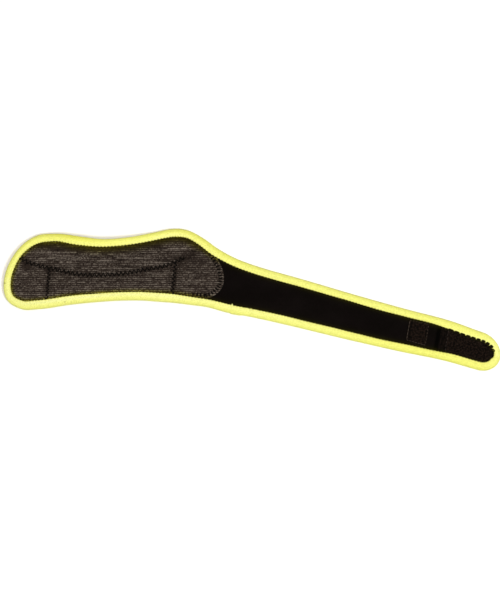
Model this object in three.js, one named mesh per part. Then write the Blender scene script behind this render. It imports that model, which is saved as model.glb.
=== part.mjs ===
// Patellar knee support: a contoured neoprene strap lying open on a surface, skin side up.
// Millimetres, +Z up. X runs along the strap, from the padded heel (-X) to the fastening tail (+X),
// and +Y is the side that sits under the kneecap. The origin is on the surface, at the middle of the outline.
// A neoprene sheet has its edge wrapped in a folded tape. A quilted knit cover with a padded pocket is tucked
// under the tape at the heel, and two hook fasteners are sewn to the tail.

import * as THREE from "three";
import { mergeVertices } from "three/addons/utils/BufferGeometryUtils.js";

// Driving dimensions

const LENGTH = 465; // whole strap, along X
const NEOPRENE = 3.0; // thickness of the sheet
const TAPE = 0.9; // thickness of the binding tape
const LIP = 7.4; // width of tape that shows on each face
const ROLL = 2.2; // how far the tape's round outer edge reaches in
const CLOTH = 1.0; // thickness of the knit cover where it is sewn flat
const TUCK = 4.4; // how far the cover runs in under the tape
const HOOK = 1.3; // thickness of a hook fastener, backing and hooks together
const GAP = 0.3; // clearance between neighbouring pieces

// Outline of the strap in plan: the middle and half the width of its section at each X.
// The two ends are closed by quarter ellipses, HEEL_ROUND and TAIL_ROUND long.
const PLAN = [
  { x: -232.5, mid: -24.1, half: 37.6 }, // heel end
  { x: -218.0, mid: -17.5, half: 35.9 },
  { x: -204.0, mid: -13.5, half: 36.1 }, // widest part of the heel
  { x: -188.0, mid: -10.0, half: 35.1 },
  { x: -170.0, mid: -6.6, half: 32.1 },
  { x: -148.0, mid: -2.6, half: 29.6 }, // waist of the pad
  { x: -126.0, mid: 3.4, half: 29.9 },
  { x: -104.0, mid: 10.3, half: 32.5 },
  { x: -88.0, mid: 14.3, half: 34.7 }, // hump of the pad
  { x: -74.0, mid: 15.7, half: 34.6 },
  { x: -58.0, mid: 13.8, half: 31.7 },
  { x: -42.0, mid: 10.4, half: 27.6 },
  { x: -24.0, mid: 6.8, half: 25.5 }, // root of the tail
  { x: 0.0, mid: 4.8, half: 23.5 },
  { x: 40.0, mid: 2.1, half: 22.4 },
  { x: 90.0, mid: -1.9, half: 21.1 },
  { x: 140.0, mid: -5.2, half: 19.8 },
  { x: 180.0, mid: -7.1, half: 18.7 },
  { x: 208.0, mid: -10.6, half: 17.7 },
  { x: 232.5, mid: -13.6, half: 17.0 }, // tail end
];
const HEEL_END = -LENGTH / 2;
const TAIL_END = LENGTH / 2;
const HEEL_ROUND = 27.4;
const TAIL_ROUND = 19;

// The cover ends in a round tongue on the open neoprene.
const COVER_END = -31.9;
const COVER_ROUND = 29;
const COVER_HEM = 3.2; // flat margin round the tongue
const FIELD_END = COVER_END - COVER_HEM;
const FIELD_ROUND = COVER_ROUND - COVER_HEM;

// The long seam that divides the cover, from the heel down round the pocket and up to the hump.
const LONG_SEAM = [
  { x: -226, y: -1.9 },
  { x: -212, y: -6.4 },
  { x: -190, y: -7.8 },
  { x: -168, y: -8.6 },
  { x: -149, y: -6.1 },
  { x: -128, y: -1.1 },
  { x: -107, y: 6.7 },
  { x: -86, y: 15.1 },
  { x: -71, y: 25.6 },
  { x: -54, y: 36.1 },
];
// The two cross seams that close the pocket's ends, where they meet the tape and the long seam.
const HEEL_SEAM = { foot: -190.5, head: -194 };
const HUMP_SEAM = { foot: -76.3, head: -78.7 };

// How much each field of the cover swells between its seams.
const SWELL = { heel: 1.6, pocket: 4.6, tongue: 1.6, upper: 2.4 };

// Where the strap springs off the surface that it lies on.
const HEEL_CURL = { reach: 32, height: 4 };
const WAIST_ARCH = { x: -158, reach: 56, hinge: -10, depth: 40, height: 10.5 };

// Hook fasteners on the tail.
const SQUARE = { x: 153.1, y: -4.8, width: 19, height: 20.6, corner: 1.5 };
const TAB_START = 173.5;
const TAB_MARGIN = 0.5; // between the tab's edge and the tape

// Heights above the surface, on the flat stretches
const BAND_UNDER = TAPE + GAP;
const BAND_TOP = BAND_UNDER + NEOPRENE;
const COVER_UNDER = BAND_TOP + GAP;
const BAND_INSET = TAPE + GAP + 0.6; // the sheet's edge inside the fold
const COVER_INSET = LIP - TUCK;
const FIELD_INSET = LIP + 0.6; // the cover swells only inside the tape

// Mesh fineness
const BAND_ROWS = 6;
const LOWER_ROWS = 7; // cover, from the tape to the long seam
const UPPER_ROWS = 6; // cover, from the long seam to the tape
const ROLL_STEPS = 4;
const CORNER_STEPS = 4;

const even = (q) => q;
const slowStart = (q) => 1 - Math.cos((q * Math.PI) / 2);
const slowEnd = (q) => Math.sin((q * Math.PI) / 2);
// Stations along X, close together where an end is round.
const SPANS = [
  { to: HEEL_END + HEEL_ROUND, steps: 10, pace: slowStart },
  { to: HEEL_SEAM.foot, steps: 2, pace: even },
  { to: HUMP_SEAM.foot, steps: 18, pace: even },
  { to: COVER_END - COVER_ROUND, steps: 3, pace: even },
  { to: COVER_END, steps: 7, pace: slowEnd },
  { to: TAIL_END - TAIL_ROUND, steps: 26, pace: even },
  { to: TAIL_END, steps: 8, pace: slowEnd },
];

// Plan

// A table's column at x, as a smooth curve through its rows with the slope of each row's neighbours.
function smooth(table, column, x) {
  const last = table.length - 1;
  const found = table.findIndex((row, i) => i > 0 && x <= row.x);
  const i = found < 0 ? last : found;
  const slope = (k) => {
    const before = table[Math.max(k - 1, 0)];
    const after = table[Math.min(k + 1, last)];
    return (after[column] - before[column]) / (after.x - before.x);
  };
  const step = table[i].x - table[i - 1].x;
  const q = (x - table[i - 1].x) / step;
  const rise = q * q * (3 - 2 * q);
  return (
    table[i - 1][column] * (1 - rise) +
    table[i][column] * rise +
    step * (slope(i - 1) * q * (1 - q) ** 2 - slope(i) * q * q * (1 - q))
  );
}

// The share of its full width that a round end leaves at a distance from the tip.
function roundEnd(distance, length) {
  const q = THREE.MathUtils.clamp(1 - distance / length, 0, 1);
  return Math.sqrt(1 - q * q);
}

function stationsAlongX() {
  const xs = [HEEL_END];
  for (const { to, steps, pace } of SPANS) {
    const from = xs.at(-1);
    for (let i = 1; i <= steps; i++) xs.push(from + (to - from) * pace(i / steps));
  }
  return xs;
}

const STATIONS = stationsAlongX();
const LAST = STATIONS.length - 1;

// The strap's outer edge as a closed loop: over the top side from heel to tail, and back along the lower side.
function outerEdge() {
  const side = (sign) => (x) => {
    const open = roundEnd(x - HEEL_END, HEEL_ROUND) * roundEnd(TAIL_END - x, TAIL_ROUND);
    return new THREE.Vector2(x, smooth(PLAN, "mid", x) + sign * open * smooth(PLAN, "half", x));
  };
  const lower = STATIONS.slice(1, -1).map(side(-1));
  return [...STATIONS.map(side(1)), ...lower.reverse()];
}

const EDGE = outerEdge();
const INWARD = EDGE.map((_, k) => {
  const before = EDGE.at(k - 1);
  const after = EDGE[(k + 1) % EDGE.length];
  return new THREE.Vector2(after.y - before.y, before.x - after.x).normalize();
});

// The outer edge moved inwards by a distance, with one point for each of its own.
const insetLoop = (inset) => EDGE.map((point, k) => point.clone().addScaledVector(INWARD[k], inset));

// The two points of a loop at a station: on the lower side and on the top side.
const pairAt = (loop, i) => [loop[(EDGE.length - i) % EDGE.length], loop[i]];

// How far the strap springs off the surface at a place in plan.
function lift(x, y) {
  const curl = Math.max(0, (HEEL_END + HEEL_CURL.reach - x) / HEEL_CURL.reach);
  const along = Math.min(1, Math.abs(x - WAIST_ARCH.x) / WAIST_ARCH.reach);
  const across = Math.max(0, (y - WAIST_ARCH.hinge) / WAIST_ARCH.depth);
  return HEEL_CURL.height * curl ** 2 + WAIST_ARCH.height * (1 - along ** 2) ** 2 * across ** 2;
}

const raised = (point, z) => new THREE.Vector3(point.x, point.y, z + lift(point.x, point.y));

// Solids

// A closed surface from triangles, without those that a pole has squeezed to a line.
function surface(triangles) {
  const geometry = new THREE.BufferGeometry().setFromPoints(triangles.flat());
  const merged = mergeVertices(geometry, 1e-3);
  const kept = [];
  for (let t = 0; t < merged.index.count; t += 3) {
    const corners = [0, 1, 2].map((c) => merged.index.getX(t + c));
    if (new Set(corners).size === 3) kept.push(...corners);
  }
  merged.setIndex(kept);
  merged.computeVertexNormals();
  return merged;
}

const quad = (a, b, c, d) => [
  [a, b, c],
  [a, c, d],
];

// A wall whose plan is a grid of columns along X and rows from the lower side to the top side.
// Its end columns are folded shut, so only the two long sides need an edge.
function wall(columns, under, over) {
  const low = columns.map((column, i) => column.map((p, j) => raised(p, under(p, i, j))));
  const high = columns.map((column, i) => column.map((p, j) => raised(p, over(p, i, j))));
  const top = columns[0].length - 1;
  const triangles = [];
  for (let i = 0; i + 1 < columns.length; i++) {
    for (let j = 0; j < top; j++) {
      triangles.push(...quad(high[i][j], high[i + 1][j], high[i + 1][j + 1], high[i][j + 1]));
      triangles.push(...quad(low[i][j], low[i][j + 1], low[i + 1][j + 1], low[i + 1][j]));
    }
    triangles.push(...quad(low[i][0], low[i + 1][0], high[i + 1][0], high[i][0]));
    triangles.push(...quad(low[i + 1][top], low[i][top], high[i][top], high[i + 1][top]));
  }
  return surface(triangles);
}

// A closed section carried round the outer edge. section(k) gives its points as inset and height.
function edgeSweep(section) {
  const rings = EDGE.map((point, k) =>
    section(k).map(({ inset, z }) => raised(point.clone().addScaledVector(INWARD[k], inset), z)),
  );
  const triangles = [];
  rings.forEach((ring, k) => {
    const next = rings[(k + 1) % rings.length];
    ring.forEach((point, s) => {
      const after = (s + 1) % ring.length;
      triangles.push(...quad(point, ring[after], next[after], next[s]));
    });
  });
  return surface(triangles);
}

// Neoprene sheet, with its edge inside the fold of the tape
function neopreneBand() {
  const loop = insetLoop(BAND_INSET);
  const columns = STATIONS.map((_, i) => {
    const [lower, upper] = pairAt(loop, i);
    return Array.from({ length: BAND_ROWS + 1 }, (_, j) => lower.clone().lerp(upper, j / BAND_ROWS));
  });
  return wall(
    columns,
    () => BAND_UNDER,
    () => BAND_TOP,
  );
}

// Binding tape, folded round the edge. It opens wider where it also holds the cover.
function edgeBinding() {
  return edgeSweep((k) => {
    const clear = THREE.MathUtils.smoothstep(EDGE[k].x, COVER_END - COVER_ROUND / 2, COVER_END + COVER_ROUND / 2);
    const height = BAND_TOP + GAP + TAPE + (CLOTH + GAP) * (1 - clear);
    const fold = Array.from({ length: ROLL_STEPS + 1 }, (_, s) => {
      const turn = Math.PI * (s / ROLL_STEPS - 0.5);
      return { inset: ROLL * (1 - Math.cos(turn)), z: (height / 2) * (1 + Math.sin(turn)) };
    });
    return [
      { inset: LIP, z: 0 },
      ...fold,
      { inset: LIP, z: height },
      { inset: LIP, z: height - TAPE },
      { inset: 2 * TAPE, z: height - TAPE },
      { inset: TAPE, z: height - 2 * TAPE },
      { inset: TAPE, z: 2 * TAPE },
      { inset: 2 * TAPE, z: TAPE },
      { inset: LIP, z: TAPE },
    ];
  });
}

// A pillow's height between two seams: 0 on both and 1 midway.
const pillow = (q) => Math.sqrt(4 * THREE.MathUtils.clamp(q, 0, 1) * (1 - THREE.MathUtils.clamp(q, 0, 1)));

// How much the cover swells below the long seam, at a share of the way up from the tape to that seam.
function lowerSwell(x, up) {
  const heel = THREE.MathUtils.lerp(HEEL_SEAM.foot, HEEL_SEAM.head, up);
  const hump = THREE.MathUtils.lerp(HUMP_SEAM.foot, HUMP_SEAM.head, up);
  if (x < heel) return SWELL.heel * pillow((x - HEEL_END) / (heel - HEEL_END)) * pillow(up);
  if (x > hump) return SWELL.tongue * pillow((x - hump) / (FIELD_END - hump)) * pillow(up);
  return SWELL.pocket * pillow((x - heel) / (hump - heel)) * pillow(up);
}

// How much the cover swells above the long seam, which closes on the tape at both ends.
function upperSwell(x, up) {
  const [start, end] = [LONG_SEAM.at(0).x, LONG_SEAM.at(-1).x];
  return SWELL.upper * pillow((x - start) / (end - start)) * pillow(up);
}

// Quilted cover: a flat hem tucked under the tape, and fields that swell between the seams
function padCover() {
  const hem = insetLoop(COVER_INSET);
  const field = insetLoop(FIELD_INSET);
  const stations = STATIONS.filter((x) => x <= COVER_END + GAP / 2);
  const narrowed = (points, x, end, length) => {
    const middle = points[0].clone().lerp(points[1], 0.5);
    const scale = roundEnd(end - x, length);
    const pulled = points.map((p) => p.clone().sub(middle).multiplyScalar(scale).add(middle));
    return pulled.map((p) => new THREE.Vector2(Math.min(p.x, end), p.y));
  };
  const columns = stations.map((x, i) => {
    const [hemLow, hemHigh] = narrowed(pairAt(hem, i), x, COVER_END, COVER_ROUND);
    const [low, high] = narrowed(pairAt(field, i), x, FIELD_END, FIELD_ROUND);
    const seamY = smooth(LONG_SEAM, "y", THREE.MathUtils.clamp(x, LONG_SEAM[0].x, LONG_SEAM.at(-1).x));
    const share = THREE.MathUtils.clamp((seamY - low.y) / Math.max(high.y - low.y, 1), 0.25, 0.85);
    const shares = [
      ...Array.from({ length: LOWER_ROWS }, (_, j) => (share * j) / LOWER_ROWS),
      ...Array.from({ length: UPPER_ROWS + 1 }, (_, j) => share + ((1 - share) * j) / UPPER_ROWS),
    ];
    return [hemLow, ...shares.map((q) => low.clone().lerp(high, q)), hemHigh];
  });
  const swell = (p, i, j) => {
    const row = j - 1;
    if (row <= 0 || row >= LOWER_ROWS + UPPER_ROWS) return 0;
    if (row <= LOWER_ROWS) return lowerSwell(stations[i], row / LOWER_ROWS);
    return upperSwell(stations[i], (row - LOWER_ROWS) / UPPER_ROWS);
  };
  return wall(
    columns,
    () => COVER_UNDER,
    (p, i, j) => COVER_UNDER + CLOTH + swell(p, i, j),
  );
}

// Small square of hook tape, with its middle at its own origin
function hookSquare() {
  const { width, height, corner } = SQUARE;
  const [w, h] = [width / 2, height / 2];
  const shape = new THREE.Shape();
  shape.moveTo(w, corner - h);
  shape.absarc(w - corner, h - corner, corner, 0, Math.PI / 2);
  shape.absarc(corner - w, h - corner, corner, Math.PI / 2, Math.PI);
  shape.absarc(corner - w, corner - h, corner, Math.PI, 1.5 * Math.PI);
  shape.absarc(w - corner, corner - h, corner, 1.5 * Math.PI, 2 * Math.PI);
  return new THREE.ExtrudeGeometry(shape, { depth: HOOK, bevelEnabled: false, curveSegments: CORNER_STEPS });
}

// Hook tab that fills the tail's end inside the tape
function hookTab() {
  const loop = insetLoop(LIP + TAB_MARGIN);
  const first = STATIONS.findIndex((x) => x > TAB_START);
  const pairs = STATIONS.slice(first).map((_, i) => pairAt(loop, first + i));
  const [before, after] = [pairAt(loop, first - 1), pairs[0]];
  const start = before.map((p, s) => p.clone().lerp(after[s], (TAB_START - p.x) / (after[s].x - p.x)));
  const lower = [start, ...pairs].map(([low]) => low);
  const upper = [start, ...pairs.slice(0, -1)].map(([, high]) => high);
  const shape = new THREE.Shape([...lower, ...upper.reverse()]);
  return new THREE.ExtrudeGeometry(shape, { depth: HOOK, bevelEnabled: false });
}

// Assembly

const finish = (color, roughness) => new THREE.MeshStandardMaterial({ color, roughness, metalness: 0 });
const jersey = finish(0x14110e, 0.95);
const fluorescent = finish(0xf4f488, 0.8);
const heather = finish(0x423931, 0.95);
const hooks = finish(0x18130e, 0.7);

function piece(name, geometry, material) {
  const mesh = new THREE.Mesh(geometry, material);
  mesh.name = name;
  return mesh;
}

const strap = new THREE.Group();
strap.add(piece("neoprene_band", neopreneBand(), jersey));
strap.add(piece("edge_binding", edgeBinding(), fluorescent));
strap.add(piece("pad_cover", padCover(), heather));

const fastener = new THREE.Group();
fastener.position.z = BAND_TOP + GAP;
const square = piece("hook_square", hookSquare(), hooks);
const tailSlope = smooth(PLAN, "mid", SQUARE.x + SQUARE.width) - smooth(PLAN, "mid", SQUARE.x - SQUARE.width);
square.position.set(SQUARE.x, SQUARE.y, 0);
square.rotation.z = Math.atan2(tailSlope, 2 * SQUARE.width);
fastener.add(square, piece("hook_tab", hookTab(), hooks));

const support = new THREE.Group();
support.add(strap, fastener);

export default support;
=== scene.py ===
"""Patellar knee support, dressed for its picture.

The strap lies open on a pale table, skin side up. Lengths are millimetres in the part's own frame: X runs
along the strap from the padded heel to the fastening tail, +Y is the side that sits under the kneecap, and Z
is up from the table. Meshes become metres when they are made.
"""

from __future__ import annotations

import logging
import math
from dataclasses import dataclass
from enum import Enum
from typing import Any, Mapping, Sequence

import bmesh
import bpy
import numpy as np
from mathutils import Matrix, Vector


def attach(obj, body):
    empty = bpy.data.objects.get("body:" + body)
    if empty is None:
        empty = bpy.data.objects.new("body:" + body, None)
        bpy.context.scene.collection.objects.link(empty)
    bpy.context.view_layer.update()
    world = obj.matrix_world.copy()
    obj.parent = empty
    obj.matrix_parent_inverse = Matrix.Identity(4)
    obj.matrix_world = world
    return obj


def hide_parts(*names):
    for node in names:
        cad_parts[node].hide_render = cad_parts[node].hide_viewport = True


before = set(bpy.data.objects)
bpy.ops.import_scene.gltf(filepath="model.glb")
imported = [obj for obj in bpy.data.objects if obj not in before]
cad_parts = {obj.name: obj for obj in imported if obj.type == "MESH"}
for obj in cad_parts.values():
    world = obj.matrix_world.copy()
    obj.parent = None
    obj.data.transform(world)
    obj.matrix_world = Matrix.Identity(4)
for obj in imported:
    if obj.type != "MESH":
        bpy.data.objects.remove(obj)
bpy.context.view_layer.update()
LOG = logging.getLogger("knee_support")

Array = np.ndarray
Color = tuple[float, float, float, float]
MM = 0.001
TINY = 1e-6
BODY = "root"

# Points closer than this are welded, and shorter edges are dissolved
WELD = 1e-3
SLIVER = 1e-4

# Thicknesses and heights, shared by the pieces that lie on each other
TAPE = 0.9
GAP = 0.3
NEOPRENE = 3.0
CLOTH = 1.0
LIP = 7.4
BAND_UNDER = TAPE + GAP
BAND_TOP = BAND_UNDER + NEOPRENE
COVER_UNDER = BAND_TOP + GAP
COVER_FLAT = COVER_UNDER + CLOTH
PATCH_UNDER = BAND_TOP + GAP

# The tongue that ends the cover on the open neoprene
COVER_END = -31.9
COVER_ROUND = 29.0

# The picture's turn: the strap points this far down to the right
PICTURE_TURN = math.radians(10.5)


class Mark(Enum):
    """Values that a mesh carries at its points for its material."""

    # Painted shade, and painted light where below 0, on the knit cover; a painted shadow in the neoprene's
    # gap before the hook tab; real stains and a painted shade along the fold on the binding tape; the hook
    # backing's edge and leader shade
    CREASE = "crease"
    # Painted yellow light reflected from the binding tape onto what lies beside it
    GLOW = "glow"
    # Painted light and shade on the binding tape: paler where light falls, deeper yellow where shade falls
    FADE = "fade"
    STRETCH = "stretch"
    LIT = "lit"


# The strap's outline: its middle line and half its width
OUTLINE = np.array(
    [
        (-232.5, -24.1, 37.6),
        (-218.0, -17.5, 35.9),
        (-204.0, -13.5, 36.1),
        (-188.0, -10.0, 35.1),
        (-170.0, -6.6, 32.1),
        (-148.0, -2.6, 29.6),
        (-126.0, 3.4, 29.9),
        (-104.0, 10.3, 32.5),
        (-88.0, 14.3, 34.7),
        (-74.0, 15.7, 34.6),
        (-58.0, 13.8, 31.7),
        (-42.0, 10.4, 27.6),
        (-24.0, 6.8, 25.5),
        (0.0, 4.8, 23.5),
        (40.0, 2.1, 22.4),
        (90.0, -1.9, 21.1),
        (140.0, -5.2, 19.8),
        (180.0, -7.1, 18.7),
        (208.0, -10.6, 17.7),
        (232.5, -13.6, 17.0),
    ],
    dtype=[("x", float), ("mid", float), ("half", float)],
)

# The seam that divides the cover, from the heel, down round the pocket and up to the hump
LONG_SEAM = np.array(
    [
        (-226.0, -1.9),
        (-212.0, -6.4),
        (-190.0, -7.8),
        (-168.0, -8.6),
        (-149.0, -6.1),
        (-128.0, -1.1),
        (-107.0, 6.7),
        (-86.0, 15.1),
        (-71.0, 25.6),
        (-54.0, 36.1),
    ],
    dtype=[("x", float), ("y", float)],
)

# The zigzag of each seam through the cover: its pitch, its width, its place left of the seam and the thread's
# radius
SEAM_STITCH = np.array(
    [
        ("long_seam", 4.1, 4.0, -0.5, 0.44),
        ("heel_seam", 3.4, 2.8, 0.3, 0.42),
        ("hump_seam", 3.6, 3.2, -0.6, 0.44),
    ],
    dtype=[("name", "U16"), ("pitch", float), ("width", float), ("aside", float), ("thread", float)],
)

# How wide the binding's lip is on the strap's two long sides, and how far each stitch draws it in
LIP_WIDTH = np.array(
    [
        (-232.5, 6.5, 6.5, 0.14, 0.1),
        (-228.0, 6.2, 6.8, 0.2, 0.1),
        (-222.0, 6.7, 7.0, 0.22, 0.1),
        (-209.0, 7.8, 7.5, 0.22, 0.1),
        (-193.0, 7.2, 7.9, 0.22, 0.1),
        (-176.0, 8.0, 7.8, 0.26, 0.1),
        (-150.0, 7.1, 7.6, 0.26, 0.1),
        (-124.0, 7.0, 7.4, 0.24, 0.1),
        (-98.0, 7.6, 7.5, 0.2, 0.1),
        (-78.0, 7.6, 7.8, 0.16, 0.1),
        (-66.0, 7.2, 7.4, 0.14, 0.1),
        (-50.0, 7.7, 6.8, 0.1, 0.08),
        (-38.0, 7.6, 6.9, 0.08, 0.06),
        (-27.0, 7.5, 7.5, 0.08, 0.06),
        (-12.0, 7.4, 7.1, 0.08, 0.06),
        (20.0, 7.3, 7.3, 0.13, 0.08),
        (48.0, 7.3, 7.2, 0.14, 0.08),
        (80.0, 6.9, 7.2, 0.14, 0.08),
        (118.0, 7.4, 6.8, 0.14, 0.08),
        (142.0, 6.8, 7.0, 0.14, 0.08),
        (165.0, 6.9, 6.7, 0.14, 0.08),
        (177.0, 7.5, 6.8, 0.1, 0.06),
        (188.0, 8.1, 7.4, 0.06, 0.06),
        (206.0, 8.2, 7.3, 0.06, 0.06),
        (220.0, 7.8, 7.3, 0.06, 0.06),
        (229.0, 6.6, 7.5, 0.06, 0.06),
        (231.2, 6.0, 7.7, 0.06, 0.06),
        (232.5, 6.4, 6.5, 0.06, 0.06),
    ],
    dtype=[("x", float), ("upper", float), ("lower", float), ("upper_draw", float), ("lower_draw", float)],
)

# Painted light (above 0, paler) and painted shade (below 0, deeper yellow) on the tape's two long sides, the
# painted shade that their outer halves add, and the painted highlight on their inner halves
TAPE_LIGHT_AND_SHADE = np.array(
    [
        (-232.5, 0.2, 0.6, -0.1, -0.1, 0.2, 0.0),
        (-205.0, 0.0, 0.7, -0.3, -0.4, 0.5, 0.0),
        (-172.0, 0.1, 1.0, -0.8, -0.7, 1.0, 0.1),
        (-145.0, 0.3, 1.0, -0.4, -0.7, 0.9, 0.1),
        (-118.0, 0.3, 0.9, -0.4, -0.6, 0.6, 0.1),
        (-90.0, 0.4, 0.9, -0.6, -0.5, 0.2, 0.1),
        (-55.0, 0.1, 0.6, -0.4, -0.3, 0.2, 0.1),
        (15.0, 0.1, 0.4, 0.0, -0.2, 0.0, 0.1),
        (72.0, 0.0, 0.1, 0.0, 0.0, 0.0, 0.1),
        (130.0, 0.0, -0.2, 0.0, 0.0, 0.0, 0.2),
        (214.0, 0.0, -0.2, 0.0, 0.0, 0.0, 0.2),
        (232.5, 0.5, 0.1, 0.1, 0.1, 0.0, 0.2),
    ],
    dtype=[
        (name, float)
        for name in ("x", "upper", "lower", "upper_rim", "lower_rim", "upper_lit", "lower_lit")
    ],
)

# The stitches on the hook square's sides: pitch, how much of it the thread shows, and the thread's radius
SQUARE_STITCH = np.array(
    [
        ("left", 3.2, 0.95, 0.3),
        ("foot", 2.6, 0.8, 0.24),
        ("right", 3.0, 0.5, 0.2),
        ("head", 2.6, 0.5, 0.17),
    ],
    dtype=[("side", "U8"), ("pitch", float), ("share", float), ("thread", float)],
)

# Dark specks on the tape: where they lie, and how wide they are
STAINS = np.array(
    [
        (-230.8, -30.0, 0.9),
        (-173.1, -36.6, 0.6),
        (-167.2, -35.6, 0.45),
    ],
    dtype=[("x", float), ("y", float), ("width", float)],
)

# Where the tape's lip frays: how far past its lap join, how far it sticks out and how wide it is
FRAYS = np.array(
    [
        (-0.4, 1.9, 0.55),
        (-9.8, 0.5, 0.5),
        (-14.6, 0.4, 0.7),
        (-18.4, 0.6, 0.5),
        (-23.0, 0.35, 0.6),
    ],
    dtype=[("past", float), ("reach", float), ("width", float)],
)


def linear(red: float, green: float, blue: float) -> Color:
    """Turns a colour from screen values of 0 to 255 into linear light.

    Args:
        red: Screen red.
        green: Screen green.
        blue: Screen blue.

    Returns:
        The linear colour with full alpha.
    """
    shares = np.array((red, green, blue)) / 255
    light = np.where(shares <= 0.04045, shares / 12.92, ((shares + 0.055) / 1.055) ** 2.4)
    return (*(float(v) for v in light), 1.0)


def smooth(table: Array, column: str, x: Array) -> Array:
    """Reads a table's column at x, as cubics through its rows with the slope of each row's neighbours.

    Args:
        table: Rows with an ascending x.
        column: The column to read.
        x: Where to read it.

    Returns:
        The column's value at each x.
    """
    xs, ys = table["x"], table[column]
    rows = np.arange(len(xs))
    before, after = np.maximum(rows - 1, 0), np.minimum(rows + 1, len(xs) - 1)
    slopes = (ys[after] - ys[before]) / (xs[after] - xs[before])
    i = np.clip(np.searchsorted(xs, x), 1, len(xs) - 1)
    step = xs[i] - xs[i - 1]
    q = (x - xs[i - 1]) / step
    rise = q * q * (3 - 2 * q)
    bend = slopes[i - 1] * q * (1 - q) ** 2 - slopes[i] * q * q * (1 - q)
    return ys[i - 1] * (1 - rise) + ys[i] * rise + step * bend


def ease(low: float, high: float, x: Array) -> Array:
    """Rises from 0 at low to 1 at high, level at both ends: 3q² - 2q³."""
    q = np.clip((x - low) / (high - low), 0, 1)
    return q * q * (3 - 2 * q)


def round_end(distance: Array, length: float) -> Array:
    """Gives a quarter ellipse's share of its full width at a distance from its tip."""
    q = np.clip(1 - distance / length, 0, 1)
    return np.sqrt(1 - q * q)


def bell(distance: Array, reach: Array | float, power: int = 2) -> Array:
    """Falls from 1 at distance 0: e to the minus distance over reach, raised to a power."""
    return np.exp(-((distance / reach) ** power))


def crowded(count: int) -> Array:
    """Gives shares from 0 to 1 that crowd towards both ends: half of one minus a cosine."""
    return 0.5 - 0.5 * np.cos(np.linspace(0, np.pi, count))


def running_length(path: Array) -> Array:
    """Gives the length of a path from its start to each of its points."""
    return np.r_[0, np.cumsum(np.linalg.norm(np.diff(path, axis=0), axis=-1))]


def follow(places: Array, run: Array, path: Array, period: float | None = None) -> Array:
    """Reads a path at places along it, straight between its points.

    Args:
        places: Where to read it.
        run: The place of each of its points.
        path: Its points.
        period: The length after which a closed path starts again, or None.

    Returns:
        The points at the places.
    """
    return np.stack([np.interp(places, run, part, period=period) for part in path.T], axis=-1)


def at_height(plan: Array, height: Array | float) -> Array:
    """Gives plan points their height as a third coordinate."""
    return np.concatenate([plan, np.broadcast_to(height, plan.shape[:-1])[..., None]], axis=-1)


def evenly(path: Array, count: int, closed: bool = False) -> Array:
    """Spaces points evenly along a path, by its running length.

    Args:
        path: Points of the path, close together.
        count: How many points to give.
        closed: Whether the path runs back to its start.

    Returns:
        The new points, without a second copy of a closed path's start.
    """
    line = np.vstack([path, path[:1]]) if closed else path
    run = running_length(line)
    return follow(np.linspace(0, run[-1], count, endpoint=not closed), run, line)


def length_of(path: Array) -> float:
    """Gives the length of an open path."""
    return float(np.linalg.norm(np.diff(path, axis=0), axis=1).sum())


def left_of(path: Array) -> Array:
    """Gives the unit direction to the left of an open path in plan, at each of its points."""
    ahead = np.gradient(path[:, :2], axis=0)
    ahead /= np.linalg.norm(ahead, axis=1, keepdims=True)
    return np.stack([-ahead[:, 1], ahead[:, 0]], axis=1)


def wander(x: Array, seed: int, wave: float) -> Array:
    """Wanders slowly between about -1 and 1: a sum of three sines with seeded phases.

    Args:
        x: Places along the run.
        seed: Picks the phases.
        wave: Length of the longest wave.

    Returns:
        The value at each place.
    """
    phases = np.random.default_rng(seed).uniform(0, 2 * np.pi, 3)
    waves = wave * np.array([1.0, 0.61, 0.37])
    strengths = np.array([0.5, 0.32, 0.18])
    return (strengths * np.sin(2 * np.pi * x[..., None] / waves + phases)).sum(axis=-1)


def doubled(values: Array, times: int, axis: int) -> Array:
    """Puts points between a grid's points along one axis, on cubics through four neighbours (Catmull-Rom).

    Args:
        values: The grid.
        times: How many steps each old step becomes.
        axis: The axis to refine.

    Returns:
        The finer grid, which still passes through the old points.
    """
    grid = np.moveaxis(values, axis, 0)
    last = len(grid) - 1
    places = np.linspace(0, last, last * times + 1)
    i = np.minimum(places.astype(int), last - 1)
    q = (places - i).reshape(-1, *([1] * (grid.ndim - 1)))
    a, b = grid[np.maximum(i - 1, 0)], grid[i]
    c, d = grid[i + 1], grid[np.minimum(i + 2, last)]
    curve = b + q / 2 * (c - a + q * (2 * a - 5 * b + 4 * c - d + q * (3 * (b - c) + d - a)))
    return np.moveaxis(curve, 0, axis)


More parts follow.
